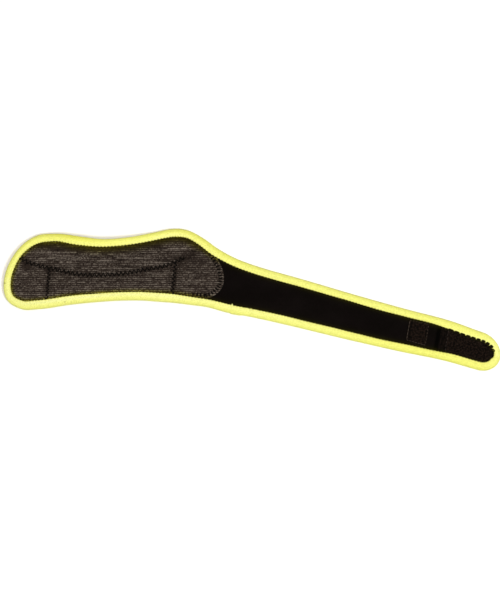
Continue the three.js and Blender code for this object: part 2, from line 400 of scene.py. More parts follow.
@dataclass(frozen=True)
class StrapPlan:
    """The strap's outline in plan, and how it springs off the table."""

    length: float = 465.0
    fineness: int = 6000
    heel_round: float = 27.4
    tail_round: float = 19.0
    curl_reach: float = 32.0
    curl_height: float = 4.0
    arch_x: float = -158.0
    arch_reach: float = 56.0
    arch_hinge: float = -10.0
    arch_depth: float = 40.0
    arch_height: float = 10.5

    def edge(self, count: int) -> Array:
        """Gives the outer edge, clockwise from the heel.

        It is the middle line plus and minus half the width, each end rounded by a quarter ellipse.

        Args:
            count: How many points, evenly spaced.

        Returns:
            The closed outline.
        """
        x = -self.length / 2 * np.cos(np.linspace(0, np.pi, self.fineness + 1))
        heel = round_end(x + self.length / 2, self.heel_round)
        tail = round_end(self.length / 2 - x, self.tail_round)
        half = heel * tail * smooth(OUTLINE, "half", x)
        middle = smooth(OUTLINE, "mid", x)
        upper = np.stack([x, middle + half], axis=1)
        lower = np.stack([x, middle - half], axis=1)
        return evenly(np.vstack([upper, lower[-2:0:-1]]), count, closed=True)

    def inward(self, edge: Array) -> Array:
        """Gives the unit direction into the strap at each point of a closed clockwise outline."""
        ahead = np.roll(edge, -1, axis=0) - np.roll(edge, 1, axis=0)
        ahead /= np.linalg.norm(ahead, axis=1, keepdims=True)
        return np.stack([ahead[:, 1], -ahead[:, 0]], axis=1)

    def sides(self, x: Array, inset: float) -> tuple[Array, Array]:
        """Gives the lower and upper Y of the outline moved inwards.

        Args:
            x: Where to cut across the strap.
            inset: How far the outline is moved in.

        Returns:
            The two sides' Y at each x.
        """
        edge = self.edge(self.fineness)
        loop = edge + inset * self.inward(edge)
        first, last = int(loop[:, 0].argmin()), int(loop[:, 0].argmax())
        upper = np.roll(loop, -first, axis=0)[: (last - first) % len(loop) + 1]
        lower = np.roll(loop, -last, axis=0)[: (first - last) % len(loop) + 1][::-1]
        return np.interp(x, lower[:, 0], lower[:, 1]), np.interp(x, upper[:, 0], upper[:, 1])

    def lift(self, x: Array, y: Array) -> Array:
        """Gives the rise off the table: a parabola at the heel's end and a hump on the waist's upper side."""
        curl = np.maximum(0, (self.curl_reach - self.length / 2 - x) / self.curl_reach)
        along = np.minimum(1, np.abs(x - self.arch_x) / self.arch_reach)
        across = np.maximum(0, (y - self.arch_hinge) / self.arch_depth)
        return self.curl_height * curl**2 + self.arch_height * (1 - along**2) ** 2 * across**2

    def lifted(self, points: Array) -> Array:
        """Raises points by the strap's own rise where they are."""
        raised = np.array(points, float)
        raised[..., 2] += self.lift(raised[..., 0], raised[..., 1])
        return raised


PLAN = StrapPlan()


def grid_quads(columns: int, rows: int, wrap: bool = False) -> Array:
    """Numbers the corners of a grid's quads, for points stored column by column.

    Args:
        columns: Columns in the grid.
        rows: Rows in each column.
        wrap: Whether the last column joins the first.

    Returns:
        One row of four point numbers for each quad.
    """
    i, j = np.meshgrid(np.arange(columns if wrap else columns - 1), np.arange(rows - 1), indexing="ij")
    after = (i + 1) % columns
    corners = [i * rows + j, after * rows + j, after * rows + j + 1, i * rows + j + 1]
    return np.stack(corners, axis=-1).reshape(-1, 4)


def make_piece(
    name: str, points: Array, quads: Array, uv: Array | None = None, marks: Mapping[Mark, Array] | None = None
) -> bpy.types.Object:
    """Makes a mesh object from arrays, with its doubled points welded.

    Args:
        name: The piece's name.
        points: Point coordinates in millimetres, as a list or a grid.
        quads: Four point numbers for each face, anticlockwise from outside.
        uv: Surface coordinates for each point, or None.
        marks: Values at each point for the material to read, or None.

    Returns:
        The smooth-shaded object, at the origin.
    """
    mesh = bpy.data.meshes.new(name)
    mesh.vertices.add(points.size // 3)
    mesh.vertices.foreach_set("co", (np.asarray(points, float) * MM).ravel())
    mesh.loops.add(quads.size)
    mesh.loops.foreach_set("vertex_index", quads.astype(np.int32).ravel())
    mesh.polygons.add(len(quads))
    mesh.polygons.foreach_set("loop_start", np.arange(0, quads.size, 4, dtype=np.int32))
    mesh.update(calc_edges=True)
    if uv is not None:
        mesh.uv_layers.new(name="cloth").data.foreach_set("uv", uv[quads.ravel()].ravel())
    for mark, values in (marks or {}).items():
        mesh.attributes.new(mark.value, "FLOAT", "POINT").data.foreach_set("value", values.ravel())
    work = bmesh.new()
    work.from_mesh(mesh)
    bmesh.ops.remove_doubles(work, verts=work.verts, dist=WELD * MM)
    bmesh.ops.dissolve_degenerate(work, edges=work.edges, dist=SLIVER * MM)
    work.to_mesh(mesh)
    work.free()
    mesh.shade_smooth()
    piece = bpy.data.objects.new(name, mesh)
    bpy.context.scene.collection.objects.link(piece)
    return piece


def tubes(paths: Array, radius: Array, sides: int) -> tuple[Array, Array]:
    """Carries a round section along many paths at once, each closed by its end rings' points.

    The ring at a point is its centre plus the radius times cos(turn) sideways and sin(turn) upwards, where
    sideways is level and square to the path.

    Args:
        paths: Points as [path, step, xyz].
        radius: The section's radius at each step, 0 at both ends.
        sides: Points in each ring.

    Returns:
        The points and quads.
    """
    ahead = np.gradient(paths, axis=1)
    ahead /= np.maximum(np.linalg.norm(ahead, axis=-1, keepdims=True), TINY)
    level = np.stack([-ahead[..., 1], ahead[..., 0], np.zeros(ahead.shape[:2])], axis=-1)
    level += np.array([0, TINY, 0])
    level /= np.linalg.norm(level, axis=-1, keepdims=True)
    above = np.cross(ahead, level)
    turn = np.linspace(0, 2 * np.pi, sides + 1)[:, None]
    ring = np.cos(turn) * level[:, :, None, :] + np.sin(turn) * above[:, :, None, :]
    points = paths[:, :, None, :] + radius[None, :, None, None] * ring
    count, steps = paths.shape[:2]
    one = grid_quads(steps, sides + 1)
    starts = np.arange(count)[:, None, None] * steps * (sides + 1)
    return points.reshape(-1, 3), (one[None] + starts).reshape(-1, 4)


def thread_radius(steps: int, radius: float) -> Array:
    """Gives a thread's radius along its steps, closed to a point at both ends."""
    swell = np.full(steps, radius)
    swell[[0, -1]] = 0
    return swell


def running_stitches(line: Array, pitch: float, share: float, steps: int) -> tuple[Array, Array]:
    """Cuts a line into stitches with a small gap after each.

    Args:
        line: The line in plan, points close together.
        pitch: Length from one stitch to the next.
        share: How much of the pitch the thread shows.
        steps: Points along each stitch.

    Returns:
        Plan points as [stitch, step, xy], and the rise at each step: 0 at the ends and 1 midway.
    """
    count = max(1, round(length_of(line) / pitch))
    along = np.linspace((1 - share) / 2, (1 + share) / 2, steps)
    places = (np.arange(count)[:, None] + along) / count
    plan = follow(places, np.linspace(0, 1, len(line)), line)
    return plan, np.sin(np.pi * np.linspace(0, 1, steps))


def plate(
    low: Array, high: Array, top: float, under: float, rows: int, ease_in: float, wall: float = 0.45
) -> tuple[Array, Array]:
    """Makes a closed flat plate with a rounded upper edge.

    Each column goes over the top from its low side to its high side and back below. The top falls away near
    the sides by a quarter ellipse.

    Args:
        low: Plan points of the low side.
        high: Plan points of the high side, one for each of the low side's.
        top: Height of the plate's face.
        under: Height of its underside.
        rows: Points across the face.
        ease_in: Width of the rounded edge.
        wall: How much of its thickness the edge keeps as an upright wall.

    Returns:
        The points and quads.
    """
    share = crowded(rows)[:, None]
    face = low[:, None] + (high - low)[:, None] * share
    inner = np.linalg.norm(high - low, axis=-1)[:, None] * np.minimum(share, 1 - share)[:, 0]
    ends = running_length((low + high) / 2)
    inner = np.minimum(inner, np.minimum(ends, ends[-1] - ends)[:, None])
    above = at_height(face, under + (top - under) * (wall + (1 - wall) * round_end(inner, ease_in)))
    below = at_height(np.stack([high, low], axis=1), under)
    points = np.concatenate([above, below, above[:, :1]], axis=1)
    return points, grid_quads(*points.shape[:2])


class NodeSheet:
    """A material's node tree, with one way to add any node to it."""

    def __init__(self, name: str) -> None:
        """Starts an empty tree with its output."""
        self.material = bpy.data.materials.new(name)
        self.material.use_nodes = True
        self.tree = self.material.node_tree
        self.tree.nodes.clear()
        self.output = self.node("ShaderNodeOutputMaterial")

    def node(
        self,
        kind: str,
        settings: Mapping[str, Any] | None = None,
        sockets: Mapping[str | int, Any] | None = None,
    ) -> bpy.types.Node:
        """Adds a node.

        Args:
            kind: The node's type.
            settings: Its properties, set first. "stops" gives a colour ramp's places and colours.
            sockets: Values or links of its inputs, by name or number.

        Returns:
            The node.
        """
        made = self.tree.nodes.new(kind)
        for key, value in (settings or {}).items():
            if key == "stops":
                ramp = made.color_ramp
                for place, _ in value[2:]:
                    ramp.elements.new(place)
                for element, (place, color) in zip(ramp.elements, value):
                    element.position = place
                    element.color = color
            else:
                setattr(made, key, value)
        for key, value in (sockets or {}).items():
            if isinstance(value, Number):
                value = value.socket
            if isinstance(value, bpy.types.NodeSocket):
                self.tree.links.new(value, made.inputs[key])
            else:
                made.inputs[key].default_value = value
        return made

    def number(self, socket: bpy.types.NodeSocket) -> Number:
        """Wraps a socket for use in expressions."""
        return Number(self, socket)

    def place(self, output: str, turn: float = 0.0, scale: float = 1.0 / MM) -> tuple[Number, Number, Number]:
        """Gives the surface's coordinates, turned about Z and scaled.

        Args:
            output: The Texture Coordinate output to read: Object or UV.
            turn: The angle to turn by.
            scale: What to multiply by; the default gives millimetres.

        Returns:
            The three coordinates.
        """
        where = self.node("ShaderNodeTexCoord").outputs[output]
        turned = self.node(
            "ShaderNodeMapping",
            None,
            {"Vector": where, "Rotation": (0, 0, turn), "Scale": (scale, scale, scale)},
        )
        split = self.node("ShaderNodeSeparateXYZ", None, {0: turned.outputs[0]})
        return tuple(self.number(out) for out in split.outputs)

    def mark(self, mark: Mark) -> Number:
        """Gives a value that the mesh carries."""
        return self.number(self.node("ShaderNodeAttribute", {"attribute_name": mark.value}).outputs["Fac"])

    def noise(self, x: Any, y: Any, z: Any = 0.0, detail: float = 2.0, rough: float = 0.5) -> Number:
        """Gives smooth noise about 0.5 at a point, one unit to a lump."""
        point = self.node("ShaderNodeCombineXYZ", None, {0: x, 1: y, 2: z})
        made = self.node(
            "ShaderNodeTexNoise",
            {"noise_dimensions": "3D"},
            {"Vector": point.outputs[0], "Scale": 1.0, "Detail": detail, "Roughness": rough},
        )
        return self.number(made.outputs["Fac"])

    def ramp(self, factor: Number, stops: Sequence[tuple[float, Color]]) -> bpy.types.NodeSocket:
        """Gives the colour that a factor picks between stops."""
        return self.node("ShaderNodeValToRGB", {"stops": stops}, {0: factor}).outputs[0]

    def mix(self, factor: Any, first: Any, second: Any, blend: str = "MIX") -> bpy.types.NodeSocket:
        """Gives a mix of two colours."""
        made = self.node(
            "ShaderNodeMix", {"data_type": "RGBA", "blend_type": blend}, {0: factor, 6: first, 7: second}
        )
        return made.outputs[2]

    def bump(self, height: Number, depth: float, strength: float = 1.0) -> bpy.types.NodeSocket:
        """Gives a normal from a height of 0 to 1 that stands for a depth in millimetres."""
        made = self.node(
            "ShaderNodeBump", None, {"Height": height, "Distance": depth * MM, "Strength": strength}
        )
        return made.outputs[0]

    def surface(self, sockets: Mapping[str, Any]) -> bpy.types.Material:
        """Ends the tree with a Principled shader that has these sockets set."""
        shader = self.node("ShaderNodeBsdfPrincipled", None, sockets)
        self.tree.links.new(shader.outputs[0], self.output.inputs["Surface"])
        return self.material


class Number:
    """A shader value that takes part in Python expressions, each operator adding one Math node."""

    def __init__(self, sheet: NodeSheet, socket: bpy.types.NodeSocket) -> None:
        """Wraps a socket of a sheet."""
        self.sheet = sheet
        self.socket = socket

    def _math(self, operation: str, *operands: Any) -> Number:
        """Adds a Math node on the operands."""
        made = self.sheet.node("ShaderNodeMath", {"operation": operation}, dict(enumerate(operands)))
        return Number(self.sheet, made.outputs[0])

    def __add__(self, other: Any) -> Number:
        """Adds."""
        return self._math("ADD", self, other)

    def __radd__(self, other: Any) -> Number:
        """Adds, with the number on the right."""
        return self._math("ADD", other, self)

    def __sub__(self, other: Any) -> Number:
        """Subtracts."""
        return self._math("SUBTRACT", self, other)

    def __rsub__(self, other: Any) -> Number:
        """Subtracts from a plain value."""
        return self._math("SUBTRACT", other, self)

    def __mul__(self, other: Any) -> Number:
        """Multiplies."""
        return self._math("MULTIPLY", self, other)

    def __rmul__(self, other: Any) -> Number:
        """Multiplies, with the number on the right."""
        return self._math("MULTIPLY", other, self)

    def __truediv__(self, other: Any) -> Number:
        """Divides."""
        return self._math("DIVIDE", self, other)

    def wave(self, pitch: float) -> Number:
        """Gives a sine wave from 0 to 1 with a pitch."""
        return self._math("SINE", self * (2 * math.pi / pitch)) * 0.5 + 0.5

    def floored(self) -> Number:
        """Rounds the value down."""
        return self._math("FLOOR", self)

    def between(self, low: float, high: float) -> Number:
        """Rises smoothly from 0 at low to 1 at high."""
        made = self.sheet.node(
            "ShaderNodeMapRange",
            {"interpolation_type": "SMOOTHSTEP"},
            {"Value": self, "From Min": low, "From Max": high},
        )
        return Number(self.sheet, made.outputs[0])


@dataclass(frozen=True)
class KnitFinish:
    """Heather knit: each course of dark yarn carries its own pale flecks, along the picture's width.

    The courses crowd and spread unevenly, and where the cloth is stretched the flecks draw out into streaks.
    Painted shade darkens it in uneven patches along the seams, in dips and gathers and beside the lip;
    painted light makes it paler along each field's swell and on the tongue's lobes; and a painted yellow
    reflection of the tape tints what lies beside it. Noise is sized by the length and width of its lumps.
    """

    dark: Color = linear(17, 12.3, 10.5)
    body: Color = linear(46, 38.3, 32.7)
    pale: Color = linear(104, 96, 87)
    glow: Color = (1.35, 1.5, 0.05, 1.0)
    course: float = 1.867
    stitch: float = 1.3
    fleck: float = 4.8
    fleck_gain: float = 2.1
    fleck_loss: float = 0.2
    crowd: tuple[float, float] = (40.0, 2.6)
    crowding: float = 2.6
    streak: float = 24.0
    streak_gain: float = 1.8
    cloud: tuple[float, float] = (14.0, 6.0)
    yarn: tuple[float, float] = (1.5, 1.0)
    yarn_gain: float = 1.6
    ridge_gain: float = 0.36
    ridge_base: float = 0.32
    patch: tuple[float, float] = (3.4, 2.6)
    patch_gain: float = 1.2
    patch_base: float = 0.4
    relief: float = 0.35

    def material(self) -> bpy.types.Material:
        """Makes the material."""
        sheet = NodeSheet("heather_knit")
        along, across, _ = sheet.place("Object", -PICTURE_TURN)
        crowd = sheet.noise(along / self.crowd[0], across / self.crowd[1])
        across = across + (crowd - 0.5) * self.crowding
        course = (across / self.course + 0.25).floored()
        fleck = sheet.noise(along / self.fleck, course * 5.3, 0.0, 4.0, 0.65)
        cloud = sheet.noise(along / self.cloud[0], across / self.cloud[1], 9.0, 2.0)
        yarn = sheet.noise(along / self.yarn[0], across / self.yarn[1], 5.0, 2.0)
        ridge = across.wave(self.course)
        stretch = sheet.mark(Mark.STRETCH)
        drawn = sheet.noise(along / self.streak, course * 3.7, 7.0, 2.0)
        flecks = (fleck - 0.5) * (self.fleck_gain - stretch * self.fleck_loss)
        streaks = (drawn - 0.5) * stretch * self.streak_gain
        mottled = flecks + streaks + (cloud - 0.5) + 1.0
        tone = (ridge * self.ridge_gain + self.ridge_base) * mottled + (yarn - 0.5) * self.yarn_gain
        patches = sheet.noise(along / self.patch[0], across / self.patch[1], 2.0, 2.0)
        # Painted shade, uneven in patches; where below 0 it is painted light
        tone = tone * (1 - sheet.mark(Mark.CREASE) * (patches * self.patch_gain + self.patch_base))
        color = sheet.ramp(tone, [(0.0, self.dark), (0.5, self.body), (1.0, self.pale)])
        loops = (along + ridge * 0.5).wave(self.stitch) * ridge
        return sheet.surface(
            {
                # Painted yellow light reflected from the tape
                "Base Color": sheet.mix(sheet.mark(Mark.GLOW), color, self.glow, "MULTIPLY"),
                "Roughness": 0.95,
                "Specular IOR Level": 0.05,
                "Normal": sheet.bump(ridge * 0.5 + loops * 0.3 + yarn * 0.4, self.relief),
            }
        )


@dataclass(frozen=True)
class JerseyFinish:
    """Black jersey on neoprene: fine dull wales with a little dust in them, a painted shadow in the gap
    before the hook tab, and a painted yellow reflection of the tape beside it.
    """

    black: Color = linear(7, 4.7, 3.7)
    worn: Color = linear(14, 10, 9)
    glow: Color = linear(34, 32, 0)
    gap: Color = linear(1, 0.5, 0)
    wale: float = 0.8
    course: float = 1.12
    cloud: tuple[float, float] = (24.0, 18.0)
    dusty: tuple[float, float] = (0.35, 0.75)
    grain: tuple[float, float] = (1.1, 0.9)
    grainy: tuple[float, float] = (0.4, 0.75)
    relief: float = 0.18

    def material(self) -> bpy.types.Material:
        """Makes the material."""
        sheet = NodeSheet("black_jersey")
        along, across, up = sheet.place("Object")
        cloud = sheet.noise(along / self.cloud[0], across / self.cloud[1], up / self.cloud[1], 3.0)
        grain = sheet.noise(along / self.grain[0], across / self.grain[1], up / self.grain[1], 2.0)
        tone = cloud.between(*self.dusty) * 0.5 + grain.between(*self.grainy) * 0.5
        # Painted shadow in the gap before the hook tab
        color = sheet.mix(sheet.mark(Mark.CREASE), sheet.mix(tone, self.black, self.worn), self.gap)
        wales = across.wave(self.wale) * along.wave(self.course)
        return sheet.surface(
            {
                # Painted yellow light reflected from the tape
                "Base Color": sheet.mix(sheet.mark(Mark.GLOW), color, self.glow),
                "Roughness": 0.9,
                "Specular IOR Level": 0.03,
                "Normal": sheet.bump(wales * 0.6 + grain * 0.4, self.relief),
            }
        )


@dataclass(frozen=True)
class TapeFinish:
    """Fluorescent binding tape: fine ribs across a bright stretch weave, paler under painted light and deeper
    under painted shade.
    """

    # deep is the yellow under painted shade, bright the plain yellow, pale the yellow under painted light
    deep: Color = linear(222, 224, 92)
    bright: Color = linear(232, 235, 126)
    pale: Color = linear(240, 243, 161)
    shade: Color = (0.74, 0.73, 0.6, 1.0)
    light: Color = (1.11, 1.11, 1.0, 1.0)
    # Real stains and the painted shade along the fold darken the yellow towards this
    stain_and_shade: Color = linear(96, 90, 20)
    stain_and_shade_depth: float = 0.7
    rib: float = 0.75
    cloud: tuple[float, float] = (4.0, 3.0)
    cloudy: tuple[float, float] = (0.25, 0.6)
    cloud_depth: float = 0.3
    fuzz: float = 1.0
    fuzzy: tuple[float, float] = (0.28, 0.6)
    fuzz_depth: float = 0.75
    relief: float = 0.14

    def material(self) -> bpy.types.Material:
        """Makes the material."""
        sheet = NodeSheet("fluorescent_tape")
        along, across, _ = sheet.place("UV", 0.0, 1.0)
        cloud = sheet.noise(along / self.cloud[0], across / self.cloud[1], 0.0, 3.0)
        fuzz = sheet.noise(along / self.fuzz, across / self.fuzz, 3.0, 2.0)
        fade = sheet.mark(Mark.FADE) * 0.5 + 0.5
        color = sheet.ramp(fade, [(0.0, self.deep), (0.5, self.bright), (1.0, self.pale)])
        worn = (1 - cloud.between(*self.cloudy)) * self.cloud_depth
        worn = worn + (1 - fuzz.between(*self.fuzzy)) * self.fuzz_depth
        color = sheet.mix(worn, color, self.shade, "MULTIPLY")
        color = sheet.mix(sheet.mark(Mark.LIT), color, self.light, "MULTIPLY")
        ribs = (along + fuzz * 0.3).wave(self.rib)
        return sheet.surface(
            {
                "Base Color": sheet.mix(sheet.mark(Mark.CREASE) * self.stain_and_shade_depth, color, self.stain_and_shade),
                "Roughness": 0.85,
                "Specular IOR Level": 0.15,
                "Sheen Weight": 0.1,
                "Normal": sheet.bump(ribs * 0.6 + fuzz * 0.5, self.relief),
            }
        )


@dataclass(frozen=True)
class ThreadFinish:
    """Sewing thread: two plies that wind round each other."""

    name: str
    color: Color
    shade: Color
    gloss: float = 0.2
    ply: float = 0.42
    fuzz: float = 0.5
    relief: float = 0.08

    def material(self) -> bpy.types.Material:
        """Makes the material."""
        sheet = NodeSheet(self.name)
        along, across, up = sheet.place("Object")
        ply = (along + across * 0.8 + up * 0.6).wave(self.ply)
        fuzz = sheet.noise(along / self.fuzz, across / self.fuzz, up / self.fuzz)
        return sheet.surface(
            {
                "Base Color": sheet.mix(ply * 0.7 + fuzz * 0.3, self.shade, self.color),
                "Roughness": 0.7,
                "Specular IOR Level": self.gloss,
                "Normal": sheet.bump(ply, self.relief),
            }
        )


@dataclass(frozen=True)
class HookFinish:
    """Hook tape: a mottled nylon weave with a painted yellow reflection of the binding beside it, and the
    uneven filament of its hooks.
    """

    weave: Color = linear(2, 1.5, 1.2)
    cord: Color = linear(33, 24.5, 19)
    fibre: Color = linear(43, 33, 26)
    glow: Color = linear(34, 32, 0)
    rib: float = 0.7
    grain: float = 1.6
    grainy: tuple[float, float] = (0.44, 0.6)
    grain_depth: float = 0.72
    band: tuple[float, float] = (3.4, 11.0)
    banded: tuple[float, float] = (0.35, 0.65)
    band_depth: float = 0.16
    relief: float = 0.15

    def mottle(self, sheet: NodeSheet, along: Number, across: Number) -> Number:
        """Gives the hook field's uneven shine: close speckle, with faint bands across the strap."""
        grain = sheet.noise(along / self.grain, across / self.grain, 0.0, 1.0)
        bands = sheet.noise(along / self.band[0], across / self.band[1], 4.0, 2.0)
        return grain.between(*self.grainy) * self.grain_depth + bands.between(*self.banded) * self.band_depth

    def tape(self) -> bpy.types.Material:
        """Makes the woven backing's material."""
        sheet = NodeSheet("hook_backing")
        along, across, _ = sheet.place("Object")
        weave = along.wave(self.rib) * 0.5 + across.wave(self.rib) * 0.5
        tone = (self.mottle(sheet, along, across) + weave * 0.1) * (1 - sheet.mark(Mark.CREASE))
        color = sheet.mix(tone, self.weave, self.cord)
        return sheet.surface(
            {
                # Painted yellow light reflected from the binding
                "Base Color": sheet.mix(sheet.mark(Mark.GLOW), color, self.glow),
                "Roughness": 0.85,
                "Specular IOR Level": 0.03,
                "Normal": sheet.bump(weave, self.relief),
            }
        )

    def filament(self) -> bpy.types.Material:
        """Makes the hooks' material."""
        sheet = NodeSheet("hook_filament")
        along, across, _ = sheet.place("Object")
        return sheet.surface(
            {
                "Base Color": sheet.mix(self.mottle(sheet, along, across), self.weave, self.fibre),
                "Roughness": 0.6,
                "Specular IOR Level": 0.04,
            }
        )


class Slot(Enum):
    """The record's material slots."""

    NEOPRENE = "neoprene"
    BINDING = "binding"
    KNIT = "knit"
    HOOK = "hook"


def settle(
    piece: bpy.types.Object, finish: bpy.types.Material, slot: Slot, *stands_for: str
) -> bpy.types.Object:
    """Dresses a piece, seats it on the strap's body and reports it.

    Args:
        piece: The new piece.
        finish: Its material.
        slot: The record's slot that it belongs to. Not used.
        stands_for: Solids of the frame that it replaces.

    Returns:
        The piece.
    """
    piece.data.materials.append(finish)
    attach(piece, BODY)
    if stands_for:
        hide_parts(*stands_for)
    LOG.info("%s: %d faces", piece.name, len(piece.data.polygons))
    return piece


@dataclass
class NeopreneBand:
    """The neoprene sheet that is the strap."""

    inset: float = 1.8
    columns: int = 420
    rows: int = 84
    under_rows: int = 28
    spring: float = 0.1
    under_spring: float = 0.05
    pinch: float = 0.5
    pinch_reach: float = 9.0
    uneven_from: float = 14.0
    # Painted yellow light reflected from the tape: where it starts and how fast it dies away
    glow_lap: float = 0.2
    glow_reach: float = 1.3
    # Painted shadow in the gap before the hook tab: its middle along X and its reach
    tab_gap_shadow: tuple[float, float] = (172.0, 1.8)

    def top(self, x: Array, y: Array, depth: Array) -> Array:
        """Gives the upper face's height: flat, pinched towards the binding, with a slow unevenness.

        Args:
            x: Place along the strap.
            y: Place across it.
            depth: Distance in from the sheet's edge.

        Returns:
            The height before the strap's own rise.
        """
        pinched = self.pinch * bell(depth, self.pinch_reach)
        uneven = 0.07 * wander(x + 0.6 * y, 11, 46.0) + 0.05 * wander(y - 0.2 * x, 12, 23.0)
        return BAND_TOP + self.spring - pinched + uneven * ease(0, self.uneven_from, depth)

    def build(self) -> bpy.types.Object:
        """Builds the sheet: columns across the strap, each going over the top and back below."""
        half = PLAN.length / 2 - self.inset
        x = -half * np.cos(np.linspace(0, np.pi, self.columns))
        low, high = PLAN.sides(x, self.inset)
        y = low[:, None] + (high - low)[:, None] * crowded(self.rows)
        depth = np.minimum(y - low[:, None], high[:, None] - y)
        wide = np.broadcast_to(x[:, None], y.shape)
        above = np.stack([wide, y, self.top(wide, y, depth)], axis=-1)
        back = np.linspace(1, 0, self.under_rows)
        y_back = low[:, None] + (high - low)[:, None] * back
        wide_back = np.broadcast_to(x[:, None], y_back.shape)
        uneven = 0.04 * wander(wide_back - 0.5 * y_back, 13, 38.0)
        below = np.stack([wide_back, y_back, BAND_UNDER + self.under_spring + uneven], axis=-1)
        points = np.concatenate([above, below, above[:, :1]], axis=1)
        quads = grid_quads(*points.shape[:2])
        glow, gap = np.zeros(points.shape[:2]), np.zeros(points.shape[:2])
        # Painted yellow light reflected from the tape, and a painted shadow in the gap before the hook tab
        from_lip = np.maximum(0, depth + self.inset - LIP + self.glow_lap)
        glow[:, : self.rows] = np.exp(-from_lip / self.glow_reach)
        gap[:, : self.rows] = bell(wide - self.tab_gap_shadow[0], self.tab_gap_shadow[1], 4)
        marks = {Mark.GLOW: glow, Mark.CREASE: gap}
        piece = make_piece("neoprene_sheet", PLAN.lifted(points), quads, marks=marks)
        settle(piece, JerseyFinish().material(), Slot.NEOPRENE, "neoprene_band")
        return piece


